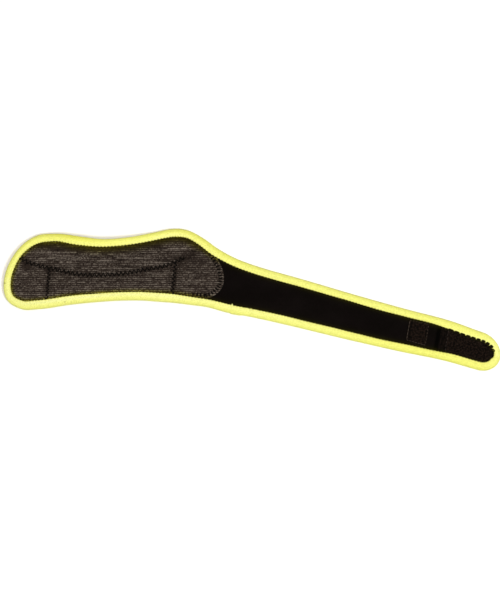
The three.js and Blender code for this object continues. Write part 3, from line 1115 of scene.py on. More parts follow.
@dataclass
class EdgeBinding:
    """The fluorescent tape folded round the strap's edge, with its lap join and its zigzag stitching."""

    stations: int = 1720
    cut_width: float = 17.5
    width_wander: float = 0.12
    roll: float = 2.6
    fold_points: int = 13
    under_points: int = 8
    slot_shares: tuple[float, ...] = (0.0, 0.35, 0.8, 1.0)
    crown: float = 0.5
    crown_from: float = 0.8
    groove: float = 0.1
    groove_inset: float = 6.4
    groove_reach: float = 0.75
    groove_least: float = 0.6
    under_groove: float = 0.22
    under_reach: float = 0.8
    lip_fall: float = 0.22
    lip_fall_from: float = 0.86
    seat_fall: float = 0.2
    seat_from: float = 6.8
    stitch_pitch: float = 3.0
    stitch_steps: int = 6
    stitch_rise: float = 0.2
    stitch_sink: float = 0.12
    thread: float = 0.17
    join_x: float = -20.8
    join_near: float = 40.0
    join_length: float = 13.0
    join_flat: float = 0.6
    join_step: float = 0.4
    join_rise: float = 0.55
    # Where painted shade deepens the outer half and the fold, where painted light makes the lip paler, and
    # where the painted highlight lies
    rim_ease: tuple[float, float] = (2.8, 5.4)
    fold_shade_tone: float = -0.35
    fold_ease: tuple[float, float] = (0.6, 3.0)
    fold_shade: float = 0.1
    shade_ease: tuple[float, float] = (0.9, 3.0)
    lip_light_tone: float = 0.25
    lip_ease: tuple[float, float] = (4.6, 6.8)
    lit_ease: tuple[float, float] = (1.8, 4.6)

    def __post_init__(self) -> None:
        """Works out the edge that the tape follows, its upper side and the place of its join."""
        self.edge = PLAN.edge(self.stations)
        self.inward = PLAN.inward(self.edge)
        self.length = length_of(np.vstack([self.edge, self.edge[:1]]))
        self.run = np.arange(self.stations) * self.length / self.stations
        x = self.edge[:, 0]
        self.upper = np.arange(self.stations) <= x.argmax()
        near = ~self.upper & (np.abs(x - self.join_x) < self.join_near)
        self.join_run = float(np.interp(0, self.join_x - x[near], self.run[near]))

    def cut_length(self) -> float:
        """Gives the length that the tape was cut to: the edge with its rise, and the lap of its join."""
        edge = PLAN.lifted(at_height(self.edge, 0.0))
        return length_of(np.vstack([edge, edge[:1]])) + self.join_length

    def height(self) -> Array:
        """Gives the tape's overall height at each station: taller where it also holds the cover."""
        clear = ease(COVER_END - COVER_ROUND / 2, COVER_END + COVER_ROUND / 2, self.edge[:, 0])
        return BAND_TOP + GAP + TAPE + (CLOTH + GAP) * (1 - clear)

    def lap(self) -> Array:
        """Gives the lap join's extra thickness: a sharp step at the tape's end that dies away behind it."""
        past = self.join_run - self.run
        gone = ease(self.join_length * self.join_flat, self.join_length, past)
        return self.join_rise * ease(-self.join_step, self.join_step, past) * (1 - gone)

    def sewn_width(self) -> Array:
        """Gives the lip's width at each station, from the table for its side, a little uneven."""
        return self.by_side(LIP_WIDTH) + self.width_wander * wander(self.run, 21, 64.0)

    def by_side(self, table: Array, ending: str = "") -> Array:
        """Reads a table's columns of the two long sides, with an ending to their names, at each station."""
        x = self.edge[:, 0]
        return np.where(self.upper, smooth(table, f"upper{ending}", x), smooth(table, f"lower{ending}", x))

    def fade(self, insets: Array) -> Array:
        """Gives the tape's painted light and shade: its side's tone, with painted shade deepening the outer
        half and the fold, and painted light making the lip paler.

        Args:
            insets: Distance in from the edge, as [station, point].

        Returns:
            The tone at each point, from -1, deepest painted shade, to 1, palest painted light.
        """
        outer = (1 - ease(*self.rim_ease, insets)) * self.by_side(TAPE_LIGHT_AND_SHADE, "_rim")[:, None]
        fold = self.fold_shade_tone * (1 - ease(*self.fold_ease, insets))
        lip = self.lip_light_tone * ease(*self.lip_ease, insets)
        return np.clip(self.by_side(TAPE_LIGHT_AND_SHADE)[:, None] + outer + fold + lip, -1, 1)

    def stains(self, plan: Array) -> Array:
        """Gives how dark a speck each plan point lies in: a bell round the middle of each."""
        x, y = plan[..., 0], plan[..., 1]
        spots = [bell(np.hypot(x - spot["x"], y - spot["y"]), spot["width"]) for spot in STAINS]
        return np.maximum.reduce(spots)

    def lip_line(self) -> Array:
        """Gives the lip's edge in plan."""
        return self.at(self.run, self.sewn_width())

    def lip(self) -> Array:
        """Gives the lip's finished width: drawn in at each stitch, with the lap's corner and frays."""
        stitched = self.by_side(LIP_WIDTH, "_draw") * np.cos(2 * np.pi * self.run / self.stitch_pitch)
        past = self.join_run - self.run[:, None] + FRAYS["past"]
        frayed = (FRAYS["reach"] * bell(past, FRAYS["width"])).sum(axis=1)
        return self.sewn_width() + stitched + frayed

    def section(self) -> tuple[Array, Array, Array]:
        """Works out the folded section at every station.

        The outside goes from the lower lip's edge, out along the table, round a half ellipse and in along
        the top, where a crown lies between the fold and a groove at the stitches. The inside comes back one
        tape's thickness within it.

        Returns:
            Inset, height and length round the section, each as [station, point].
        """
        height, lip, lap = self.height()[:, None], self.lip()[:, None], self.lap()[:, None]
        turn = np.linspace(-np.pi / 2, np.pi / 2, self.fold_points)
        fold_in = self.roll * (1 - np.cos(turn)) - lap * np.cos(turn)
        fold_up = height / 2 * (1 + np.sin(turn)) + lap * np.maximum(np.sin(turn), 0)
        share = np.linspace(0, 1, self.fold_points)[1:]
        top_in = self.roll + (lip - self.roll) * share
        hump, sunk = self.crown_and_groove(top_in)
        pucker = 0.5 + 0.5 * np.cos(2 * np.pi * self.run / self.stitch_pitch)[:, None]
        deep = self.groove_least + (1 - self.groove_least) * pucker
        top_up = height + lap + hump - sunk * deep - self.lip_fall * ease(self.lip_fall_from, 1.0, share)
        under_in = self.roll + (lip - self.roll) * np.linspace(1, 0, self.under_points)[:-1]
        under_up = self.under_rise(under_in)
        slot_back = 2 * TAPE + (lip - 2 * TAPE) * np.array(self.slot_shares)
        slot_in = slot_back[:, ::-1]
        ceiling = np.broadcast_to(height - TAPE, slot_in.shape)
        floor = np.full_like(slot_back, TAPE)
        side = np.full_like(height, TAPE)
        ways_in = [under_in, fold_in, top_in, slot_in, side, side, slot_back, under_in[:, :1]]
        ways_up = [under_up, fold_up, top_up, ceiling, height - 2 * TAPE, side * 2, floor, under_up[:, :1]]
        insets, heights = np.concatenate(ways_in, axis=1), np.concatenate(ways_up, axis=1)
        steps = np.hypot(np.diff(insets, axis=1), np.diff(heights, axis=1))
        round_it = np.concatenate([np.zeros_like(height), np.cumsum(steps, axis=1)], axis=1)
        return insets, heights, round_it

    def crown_and_groove(self, inset: Array) -> tuple[Array, Array]:
        """Gives the top's crown, half a sine that ends at the groove, and the groove's full depth, a bell."""
        share = np.clip((inset - self.crown_from) / (self.groove_inset - self.crown_from), 0, 1)
        sunk = self.groove * bell(inset - self.groove_inset, self.groove_reach)
        return self.crown * np.sin(np.pi * share), sunk

    def under_rise(self, inset: Array) -> Array:
        """Gives how far the stitches draw the lower lip up: a bell at the groove."""
        return self.under_groove * bell(inset - self.groove_inset, self.under_reach)

    def surface_height(self, run: Array, inset: Array, above: bool) -> Array:
        """Gives the tape's outer face where a stitch lies on it.

        Args:
            run: Distance round the edge.
            inset: Distance in from the edge.
            above: Whether it is the top face.

        Returns:
            The face's height.
        """
        if not above:
            return self.under_rise(inset)
        height = np.interp(run, self.run, self.height() + self.lap(), period=self.length)
        hump, sunk = self.crown_and_groove(inset)
        fall = self.seat_fall * ease(self.seat_from, LIP, inset)
        return height + hump - sunk * (1 + self.groove_least) / 2 - fall

    def at(self, run: Array, inset: Array) -> Array:
        """Gives the plan point at a distance round the edge and in from it."""
        edge = follow(run, self.run, self.edge, self.length)
        return edge + inset[..., None] * follow(run, self.run, self.inward, self.length)

    def build(self) -> bpy.types.Object:
        """Builds the tape by carrying its section round the edge."""
        insets, heights, round_it = self.section()
        plan = self.edge[:, None] + insets[..., None] * self.inward[:, None]
        points = PLAN.lifted(at_height(plan, heights))
        points = np.concatenate([points, points[:1]])
        along = np.broadcast_to(np.r_[self.run, self.length][:, None], points.shape[:2])
        round_it = np.concatenate([round_it, round_it[:1]])
        uv = np.stack([along, round_it], axis=-1).reshape(-1, 2)
        quads = grid_quads(*points.shape[:2])[:, ::-1]
        # Real stains, and a painted shade along the fold; then the painted highlight on the inner halves
        dark = np.maximum(self.stains(plan), self.fold_shade * (1 - ease(*self.shade_ease, insets)))
        lit = self.by_side(TAPE_LIGHT_AND_SHADE, "_lit")[:, None] * ease(*self.lit_ease, insets)
        made = {Mark.FADE: self.fade(insets), Mark.CREASE: dark, Mark.LIT: lit}
        marks = {mark: np.concatenate([values, values[:1]]) for mark, values in made.items()}
        piece = make_piece("binding_tape", points, quads, uv, marks)
        settle(piece, TapeFinish().material(), Slot.BINDING, "edge_binding")
        flat = (self.cut_width * MM, round(self.cut_length() * MM, 3))
        return piece

    def sew(
        self, name: str, above: bool, inner: float, outer: float, finish: bpy.types.Material
    ) -> bpy.types.Object:
        """Sews the tape down with a zigzag that dips into the cloth at each needle hole.

        Args:
            name: The stitching's name.
            above: Whether it lies on the top face.
            inner: The zigzag's inner reach, past the lip's edge.
            outer: Its outer reach, likewise.
            finish: The thread's material.

        Returns:
            The stitching.
        """
        legs = 2 * round(self.length / self.stitch_pitch)
        place = np.arange(legs * self.stitch_steps) / self.stitch_steps
        run = place / legs * self.length
        swing = np.abs((place % 2) - 1)
        width = np.interp(run, self.run, self.sewn_width(), period=self.length)
        inset = width + outer + (inner - outer) * swing
        off = self.stitch_rise * np.sin(np.pi * (place % 1)) - self.stitch_sink
        height = self.surface_height(run, np.minimum(inset, width - 0.1), above) + (off if above else -off)
        path = at_height(self.at(run, inset), np.maximum(height, self.thread))
        points, quads = tubes(PLAN.lifted(path)[None], thread_radius(len(path), self.thread), 5)
        return settle(make_piece(name, points, quads), finish, Slot.BINDING)


@dataclass(frozen=True)
class Ridge:
    """A ridge beside an edge: its height, how far in its middle lies, and its reach."""

    height: float
    middle: float
    reach: float
    power: int = 2

    def at(self, distance: Array) -> Array:
        """Gives its height at a distance from the edge: a bell about its middle."""
        return self.height * bell(distance - self.middle, self.reach, self.power)


@dataclass
class PadCover:
    """The quilted knit cover: fields blown up between seams, ending in a round tongue."""

    binding: EdgeBinding
    inset: float = 3.0
    hem: float = 5.0
    tongue_hem: float = 4.6
    tongue_pitch: float = 3.3
    tongue_from: float = -57.0
    tongue_points: int = 900
    tongue_free: tuple[float, float] = (11.0, 8.0)
    tongue_roll: Ridge = Ridge(0.6, 0.9, 0.8)
    tongue_gather: Ridge = Ridge(0.95, 2.5, 1.6)
    gather_level: float = 0.6
    # Painted shade between the tongue's stitches, and painted light on the lobes between them
    tongue_shade: Ridge = Ridge(0.9, 3.1, 1.7, 4)
    tongue_lobe_light: Ridge = Ridge(0.3, 1.7, 1.3)
    heel_seam: tuple[float, float] = (-190.5, -194.0)
    hump_seam: tuple[float, float] = (-76.3, -78.7)
    seam_start: float = -224.0
    seam_end: float = -57.0
    heel_round: float = 30.0
    end_columns: int = 25
    body_columns: int = 92
    lower_rows: int = 30
    upper_rows: int = 27
    under_rows: int = 6
    finer: int = 3
    swell: float = 3.2
    swell_cap: float = 6.0
    slack: float = 0.02
    pressure: float = 3.0
    frames: int = 22
    sim_scale: float = 10.0
    seam_half: float = 0.8
    dome_reach: float = 6.0
    seam_groove: float = 0.54
    groove_ease: tuple[float, float] = (2.0, 6.0)
    rim_fall: float = 0.25
    rim_round: float = 0.8
    seam_reach: float = 1.5
    # Painted shade along the seams, set a little below them, where the long seam climbs the hump, at the heel
    # seam's knot, at the seam's start, in the dips and beside the lip; the light fields give a painted light
    shade_drop: float = 1.1
    seam_shade: float = 0.28
    climb_shade: float = 0.5
    hump_reach: float = 3.8
    climb_start: tuple[float, float] = (-82.7, -74.7)
    climb_end: tuple[float, float] = (-66.0, -56.0)
    knot_shade: float = 0.7
    knot_reach: float = 3.6
    start_shade: float = 0.3
    start_reach: float = 6.0
    start_x: float = -215.0
    lip_shade: tuple[float, float, float] = (0.0, 0.42, 0.55)
    lip_depth: tuple[float, float, float] = (0.0, 2.9, 0.0)
    lip_reach: tuple[float, float, float] = (1.0, 3.5, 1.0)
    # Reach of the painted yellow reflection of the tape in each field
    glow_reach: tuple[float, float, float] = (2.4, 4.8, 3.0)
    light: tuple[float, float, float] = (0.12, 0.13, 0.0)
    light_depth: tuple[float, float, float] = (1.0, 9.8, 1.0)
    light_reach: tuple[float, float, float] = (4.0, 3.0, 4.0)
    heel_ease: tuple[float, float] = (-218.0, -199.0)
    hump_ease: tuple[tuple[float, float], tuple[float, float]] = ((-96.0, -72.0), (-68.0, -52.0))
    # Painted shade in the dips past the hump: where, how dark and how wide
    dips: tuple[tuple[float, float, float, float], ...] = (
        (-56.0, 24.5, 0.22, 8.0),
        (-65.0, 16.0, 0.14, 5.0),
    )
    shoulder_x: float = -191.0
    shoulder_width: float = 14.0
    shoulder_gain: float = 0.9

    def __post_init__(self) -> None:
        """Lays out the coarse grid: columns along X and rows from edge to seam to edge."""
        heel = self.inset - PLAN.length / 2
        body, tongue = heel + self.heel_round, COVER_END - COVER_ROUND
        turn = np.linspace(0, np.pi / 2, self.end_columns)
        self.columns = np.concatenate(
            [
                heel + self.heel_round * (1 - np.cos(turn)),
                np.linspace(body, tongue, self.body_columns)[1:],
                tongue + COVER_ROUND * np.sin(turn[1:]),
            ]
        )
        self.lay_out()

    def bounds(self, x: Array) -> tuple[Array, Array, Array]:
        """Gives the cover's lower side, long seam and upper side at x.

        Args:
            x: Where to cut across the cover.

        Returns:
            The three Y values at each x.
        """
        low, high = PLAN.sides(x, self.inset)
        middle, half = (low + high) / 2, (high - low) / 2 * round_end(COVER_END - x, COVER_ROUND)
        low, high = middle - half, middle + half
        seam = smooth(LONG_SEAM, "y", np.clip(x, LONG_SEAM["x"][0], LONG_SEAM["x"][-1]))
        share = np.clip((seam - low) / np.maximum(high - low, 1), 0.25, 0.86)
        return low, low + share * (high - low), high

    def grid(self, x: Array, lower_rows: int, upper_rows: int) -> Array:
        """Gives the plan points of a grid whose rows follow the long seam.

        Args:
            x: The columns.
            lower_rows: Steps below the seam.
            upper_rows: Steps above it.

        Returns:
            Points as [column, row, xy].
        """
        low, seam, high = (side[:, None] for side in self.bounds(x))
        below = low + (seam - low) * np.linspace(0, 1, lower_rows + 1)
        above = seam + (high - seam) * np.linspace(0, 1, upper_rows + 1)[1:]
        y = np.concatenate([below, above], axis=1)
        return np.stack([np.broadcast_to(x[:, None], y.shape), y], axis=-1)

    def lay_out(self) -> None:
        """Works out the coarse grid's distances from the seams and from the cover's own edge."""
        self.blank = self.grid(self.columns, self.lower_rows, self.upper_rows)
        rim = np.concatenate([self.blank[:, 0], self.blank[::-1, -1]])
        self.edge_distance = self.distance(evenly(rim, 1400, closed=True))
        self.lip_distance = self.distance(self.binding.lip_line())

    def distance(self, line: Array) -> Array:
        """Gives the distance from each point of the coarse grid to the nearest point of a line."""
        parts = np.array_split(self.blank.reshape(-1, 2), 12)
        near = [np.linalg.norm(part[:, None] - line, axis=-1).min(axis=1) for part in parts]
        return np.concatenate(near).reshape(self.blank.shape[:2])

    def finely(self, values: Array) -> Array:
        """Carries values from the coarse grid to the fine one."""
        return doubled(doubled(values, self.finer, 0), self.finer, 1)

    def seam_distances(self, plan: Array) -> tuple[Array, Array, Array]:
        """Gives the distances from plan points to the long seam and to the two cross seams.

        Args:
            plan: Points as [column, row, xy].

        Returns:
            The distances at each point, for the long seam, the heel's and the hump's.
        """
        x, y = plan[..., 0], plan[..., 1]
        low, seam, _ = self.bounds(plan[:, 0, 0])
        slope = np.gradient(seam, plan[:, 0, 0])[:, None]
        beyond = np.maximum(0, np.maximum(self.seam_start - x, x - self.seam_end))
        long_seam = np.hypot((y - seam[:, None]) / np.sqrt(1 + slope**2), beyond)
        up = np.clip((y - low[:, None]) / np.maximum(seam - low, 1)[:, None], 0, 1)
        above = np.maximum(0, y - seam[:, None])
        ends = (self.heel_seam, self.hump_seam)
        heel, hump = (np.hypot(x - (foot + (head - foot) * up), above) for foot, head in ends)
        return long_seam, heel, hump

    def seam_distance(self, plan: Array) -> Array:
        """Gives the distance from plan points to the nearest seam."""
        return np.minimum.reduce(self.seam_distances(plan))

    def start(self) -> Array:
        """Gives the heights that the cloth starts from: a low dome that is 0 at the hem and on every seam."""
        hem = np.where(self.blank[..., 0] > COVER_END - COVER_ROUND, self.tongue_hem, self.hem)
        from_hem = np.maximum(0, self.edge_distance - hem)
        away = np.minimum(from_hem, np.maximum(0, self.seam_distance(self.blank) - self.seam_half))
        self.sewn = away <= 0
        return self.swell * (1 - np.exp(-away / self.dome_reach))

    def blow_up(self, heights: Array) -> Array:
        """Blows the cloth up between its sewn points with Blender's cloth, in a larger scale than life.

        The columns at both ends are left out, because each is a single point and sewn down anyway.

        Args:
            heights: The starting heights.

        Returns:
            The settled heights.
        """
        points = at_height(self.blank, heights)[1:-1]
        columns, rows = points.shape[:2]
        points = points.reshape(-1, 3)
        mesh = bpy.data.meshes.new("cover_blank")
        mesh.from_pydata(
            (points * MM * self.sim_scale).tolist(), [], grid_quads(columns, rows).tolist()
        )
        blank = bpy.data.objects.new("cover_blank", mesh)
        bpy.context.scene.collection.objects.link(blank)
        pins = blank.vertex_groups.new(name="sewn")
        pins.add(np.flatnonzero(self.sewn[1:-1].ravel()).tolist(), 1.0, "REPLACE")
        cloth = blank.modifiers.new("cloth", "CLOTH")
        cloth.settings.vertex_group_mass = pins.name
        cloth.settings.quality = 7
        cloth.settings.mass = 0.15
        cloth.settings.tension_stiffness = 25
        cloth.settings.compression_stiffness = 25
        cloth.settings.shear_stiffness = 8
        cloth.settings.bending_stiffness = 0.6
        cloth.settings.shrink_min = -self.slack
        cloth.settings.use_pressure = True
        cloth.settings.uniform_pressure_force = self.pressure
        cloth.settings.effector_weights.gravity = 0
        cloth.collision_settings.use_collision = False
        for step in range(1, self.frames + 1):
            bpy.context.scene.frame_set(step)
        settled = blank.evaluated_get(bpy.context.evaluated_depsgraph_get()).data
        result = np.empty(len(points) * 3)
        settled.vertices.foreach_get("co", result)
        bpy.data.objects.remove(blank)
        bpy.context.scene.frame_set(1)
        risen = heights.copy()
        risen[1:-1] = result.reshape(columns, rows, 3)[..., 2] / (MM * self.sim_scale)
        return np.clip(risen, 0, self.swell_cap)

    def heights(self) -> None:
        """Works out the fine grid's heights: the blown-up cloth with a groove pressed along each seam."""
        dome = self.start()
        puffed = self.blow_up(dome)
        self.fine_columns = doubled(self.columns, self.finer, 0)
        plan = self.grid(self.fine_columns, self.lower_rows * self.finer, self.upper_rows * self.finer)
        rise = np.maximum(0, self.finely(puffed))
        rim = self.finely(self.edge_distance)
        groove = bell(self.seam_distance(plan), self.seam_reach) * ease(*self.groove_ease, rim)
        fall = self.rim_fall * (1 - ease(0.0, self.rim_round, rim))
        self.plan = plan
        self.top = self.pucker(plan, COVER_FLAT + rise - self.seam_groove * groove - fall)

    def tongue_edge(self, count: int) -> Array:
        """Gives the line that holds the cover's end: along the lower lip and round the free edge.

        Args:
            count: How many points, evenly spaced.

        Returns:
            The open path.
        """
        x = COVER_END - (COVER_END - self.tongue_from) * (1 - np.sin(np.linspace(0, np.pi / 2, 400)))
        low, _, high = self.bounds(x)
        lip_low, lip_high = PLAN.sides(x, LIP)
        lower = np.stack([x, np.maximum(low, lip_low - 0.5)], axis=1)
        upper = np.stack([x, high], axis=1)[high < lip_high + 1.5]
        return evenly(np.vstack([lower, upper[-2::-1]]), count)

    def pucker(self, plan: Array, top: Array) -> Array:
        """Rolls the tongue's edge and gathers it between its stitches.

        A roll lies just inside the edge, and the cloth between two stitches rises by half a cosine.

        Args:
            plan: The grid's plan points.
            top: Its heights.

        Returns:
            The new heights.
        """
        edge = self.tongue_edge(self.tongue_points)
        part = plan[:, 0, 0] > self.tongue_from - 2
        flat = plan[part].reshape(-1, 2)
        apart = np.linalg.norm(flat[:, None] - edge, axis=-1)
        near = apart.min(axis=1)
        run = apart.argmin(axis=1) / len(edge) * length_of(edge)
        stitches = round(length_of(edge) / self.tongue_pitch)
        between = 0.5 - 0.5 * np.cos(2 * np.pi * run * stitches / length_of(edge))
        free = ease(*(COVER_END - back for back in self.tongue_free), flat[:, 0])
        roll = free * self.tongue_roll.at(near)
        gather = (between - self.gather_level) * self.tongue_gather.at(near)
        dressed = top.copy()
        dressed[part] += (roll * (0.5 + 0.5 * between) + gather).reshape(dressed[part].shape)
        # Painted shade between the stitches, and painted light on the lobes of the free edge
        sunk = (1 - between) ** 2 * self.tongue_shade.at(near)
        lobes = free * between * self.tongue_lobe_light.at(near)
        self.tongue_shading = np.zeros_like(top)
        self.tongue_shading[part] = (sunk - lobes).reshape(dressed[part].shape)
        return dressed

    def height_at(self, x: Array, y: Array) -> Array:
        """Reads the cover's top at plan points, between the fine grid's points.

        Args:
            x: Places along the strap.
            y: Places across it.

        Returns:
            The height before the strap's own rise.
        """
        low, seam, high = self.bounds(x)
        below = (y - low) / np.maximum(seam - low, TINY) * self.lower_rows
        above = self.lower_rows + (y - seam) / np.maximum(high - seam, TINY) * self.upper_rows
        row = np.where(y < seam, below, above) * self.finer
        column = np.interp(x, self.fine_columns, np.arange(len(self.fine_columns)))
        last_column, last_row = np.array(self.top.shape) - 1
        row, column = np.clip(row, 0, last_row - TINY), np.clip(column, 0, last_column - TINY)
        i, j = column.astype(int), row.astype(int)
        p, q = column - i, row - j
        near = self.top[i, j] * (1 - q) + self.top[i, j + 1] * q
        far = self.top[i + 1, j] * (1 - q) + self.top[i + 1, j + 1] * q
        return near * (1 - p) + far * p

    def painted_shading(self) -> Array:
        """Gives the painted shade at each point of the fine grid.

        Bells of painted shade lie below the seams, a wider one where the long seam climbs the hump, one where
        the heel's seam meets it, one where it starts, one in each dip past the hump, one beside the lip, and
        the tongue's own between its stitches, paler on its lobes. A painted light, a paler band along each
        field's swell, is taken off.

        Returns:
            The painted shade at each point: 1 at its darkest, and below 0 where painted light makes the cloth
                paler.
        """
        long_seam, heel, hump = self.seam_distances(self.plan + (0, self.shade_drop))
        nearest = np.minimum.reduce([long_seam, heel, hump])
        seam = self.seam_shade * bell(nearest, self.seam_reach)
        x = self.plan[..., 0]
        climb = ease(*self.climb_start, x) * (1 - ease(*self.climb_end, x))
        climb = climb * self.climb_shade * bell(long_seam, self.hump_reach)
        knot = self.knot_shade * bell(np.maximum(long_seam, heel), self.knot_reach)
        start = self.start_shade * bell(np.hypot(long_seam, x - self.start_x), self.start_reach)
        dips = [
            crease * bell(np.linalg.norm(self.plan - (along, across), axis=-1), reach)
            for along, across, crease, reach in self.dips
        ]
        shoulder = 1 + self.shoulder_gain * bell(x - self.shoulder_x, self.shoulder_width)
        lip = self.by_field(self.lip_shade) * self.beside_lip(self.lip_reach, self.lip_depth, shoulder)
        lip = lip * (self.tongue_shading >= 0)
        light = self.beside_lip(self.light_reach, self.light_depth, np.sqrt(shoulder))
        light = light * self.by_field(self.light)
        return np.maximum.reduce([seam, climb, knot, start, *dips, lip, self.tongue_shading]) - light

    def by_field(self, values: tuple[float, float, float]) -> Array:
        """Gives one value below the long seam, one above it and one past the hump, on the fine grid."""
        below, above, beyond = values
        _, middle, _ = self.bounds(self.fine_columns)
        x, y = self.plan[..., 0], self.plan[..., 1]
        upper = ease(-0.5, 0.5, y - middle[:, None]) * ease(*self.heel_ease, x)
        past_low, past_high = (ease(*span, x) for span in self.hump_ease)
        lower_field = below + (beyond - below) * past_low
        upper_field = above + (beyond - above) * past_high
        return lower_field + (upper_field - lower_field) * upper

    def beside_lip(
        self,
        reach: tuple[float, float, float],
        depth: tuple[float, float, float] = (0.0, 0.0, 0.0),
        further: Array | float = 1.0,
    ) -> Array:
        """Gives a bell along the lip, at its own depth in each field.

        Args:
            reach: The bell's reach in each field.
            depth: The distance of its middle from the lip in each field.
            further: What the depth is multiplied by, place by place.

        Returns:
            The bell's value at each point of the fine grid.
        """
        apart = self.finely(self.lip_distance) - self.by_field(depth) * further
        return bell(apart, self.by_field(reach))

    def build(self) -> bpy.types.Object:
        """Builds the cover: the fine top, and a plain underside that shares its edge."""
        self.heights()
        above = at_height(self.plan, self.top)
        share = np.linspace(1, 0, self.under_rows)[:, None]
        below = self.plan[:, None, 0] + (self.plan[:, None, -1] - self.plan[:, None, 0]) * share
        points = np.concatenate([above, at_height(below, COVER_UNDER), above[:, :1]], axis=1)
        quads = grid_quads(*points.shape[:2])
        plain = np.zeros((len(points), points.shape[1] - self.top.shape[1]))
        made = {
            Mark.CREASE: self.painted_shading(),
            # Painted yellow light reflected from the tape, beside its lip
            Mark.GLOW: self.beside_lip(self.glow_reach),
            Mark.STRETCH: self.by_field((0.0, 1.0, 0.0)),
        }
        marks = {mark: np.concatenate([values, plain], axis=1) for mark, values in made.items()}
        piece = make_piece("knit_cover", PLAN.lifted(points), quads, marks=marks)
        settle(piece, KnitFinish().material(), Slot.KNIT, "pad_cover")
        return piece


@dataclass
class CoverStitching:
    """Black zigzag seams through the cover, and the stitches that hold its tongue down."""

    cover: PadCover
    sewn_to: float = -72.0
    knot: float = 0.7
    tongue_thread: float = 0.72
    tongue_reach: tuple[float, float] = (1.4, 5.3)
    tongue_rise: float = 1.1
    leg_steps: int = 7
    rise: float = 0.42
    sink: float = 0.3
    back_thread: float = 0.32
    back_sag: float = 0.1

    def zigzag(self, line: Array, pitch: float, width: float) -> tuple[Array, Array]:
        """Swings a path from side to side of a line.

        Args:
            line: The seam in plan.
            pitch: Length of a full swing.
            width: Width between its two sides.

        Returns:
            The path in plan, and its rise: 0 at the needle holes and 1 midway.
        """
        legs = max(2, round(2 * length_of(line) / pitch))
        place = np.arange(legs * self.leg_steps + 1) / self.leg_steps
        base = evenly(line, len(place))
        swing = 2 * np.abs((place % 2) - 1) - 1
        return base + left_of(base) * (swing * width / 2)[:, None], np.sin(np.pi * (place % 1))

    def lay(self, plan: Array, rise: Array) -> Array:
        """Lays a thread's path on the cover, sunk at its needle holes."""
        flat = plan.reshape(-1, 2)
        height = self.cover.height_at(flat[:, 0], flat[:, 1]).reshape(plan.shape[:-1])
        return PLAN.lifted(at_height(plan, height + self.rise * rise - self.sink))

    def seam_lines(self) -> list[Array]:
        """Gives the three seams in plan, each as points close together."""
        x = np.linspace(self.cover.seam_start, self.sewn_to, 400)
        long_seam = np.stack([x, smooth(LONG_SEAM, "y", x)], axis=1)
        lines = [long_seam]
        for foot, head in (self.cover.heel_seam, self.cover.hump_seam):
            low, _ = PLAN.sides(np.array([foot]), LIP)
            top = smooth(LONG_SEAM, "y", np.array([head]))
            ends = np.array([[head, top[0] - 0.5], [foot, low[0]]])
            lines.append(evenly(ends, 120))
        return lines

    def tongue_stitches(self) -> tuple[Array, Array]:
        """Lays a short stitch square to the tongue's edge at each of its gathers.

        Returns:
            The points and quads.
        """
        edge = self.cover.tongue_edge(self.cover.tongue_points)
        count = round(length_of(edge) / self.cover.tongue_pitch)
        at = np.round(np.arange(1, count) / count * (len(edge) - 1)).astype(int)
        inward = left_of(edge)[at]
        reach = np.linspace(*self.tongue_reach, self.leg_steps)
        plan = edge[at][:, None] + inward[:, None] * reach[:, None]
        rise = self.tongue_rise * np.sin(np.pi * np.linspace(0, 1, self.leg_steps))
        return tubes(self.lay(plan, rise), thread_radius(self.leg_steps, self.tongue_thread), 6)

    def build(self) -> None:
        """Builds the seams' threads on the cover and on the strap's back, and the tongue's stitches."""
        black = ThreadFinish("black_thread", linear(11, 8, 6), linear(5, 4, 3), 0.05).material()
        for line, seam in zip(self.seam_lines(), SEAM_STITCH):
            line = line + left_of(line) * seam["aside"]
            plan, rise = self.zigzag(line, seam["pitch"], seam["width"])
            radius = thread_radius(len(plan), seam["thread"]) * (1 + self.knot * (1 - rise))
            points, quads = tubes(self.lay(plan, rise)[None], radius, 6)
            settle(make_piece(f"{seam['name']}_thread", points, quads), black, Slot.NEOPRENE)
            back = at_height(plan, BAND_UNDER - self.back_sag * rise)
            points, quads = tubes(PLAN.lifted(back)[None], thread_radius(len(plan), self.back_thread), 5)
            settle(make_piece(f"{seam['name']}_thread_back", points, quads), black, Slot.NEOPRENE)
        points, quads = self.tongue_stitches()
        settle(make_piece("tongue_stitches", points, quads), black, Slot.NEOPRENE)


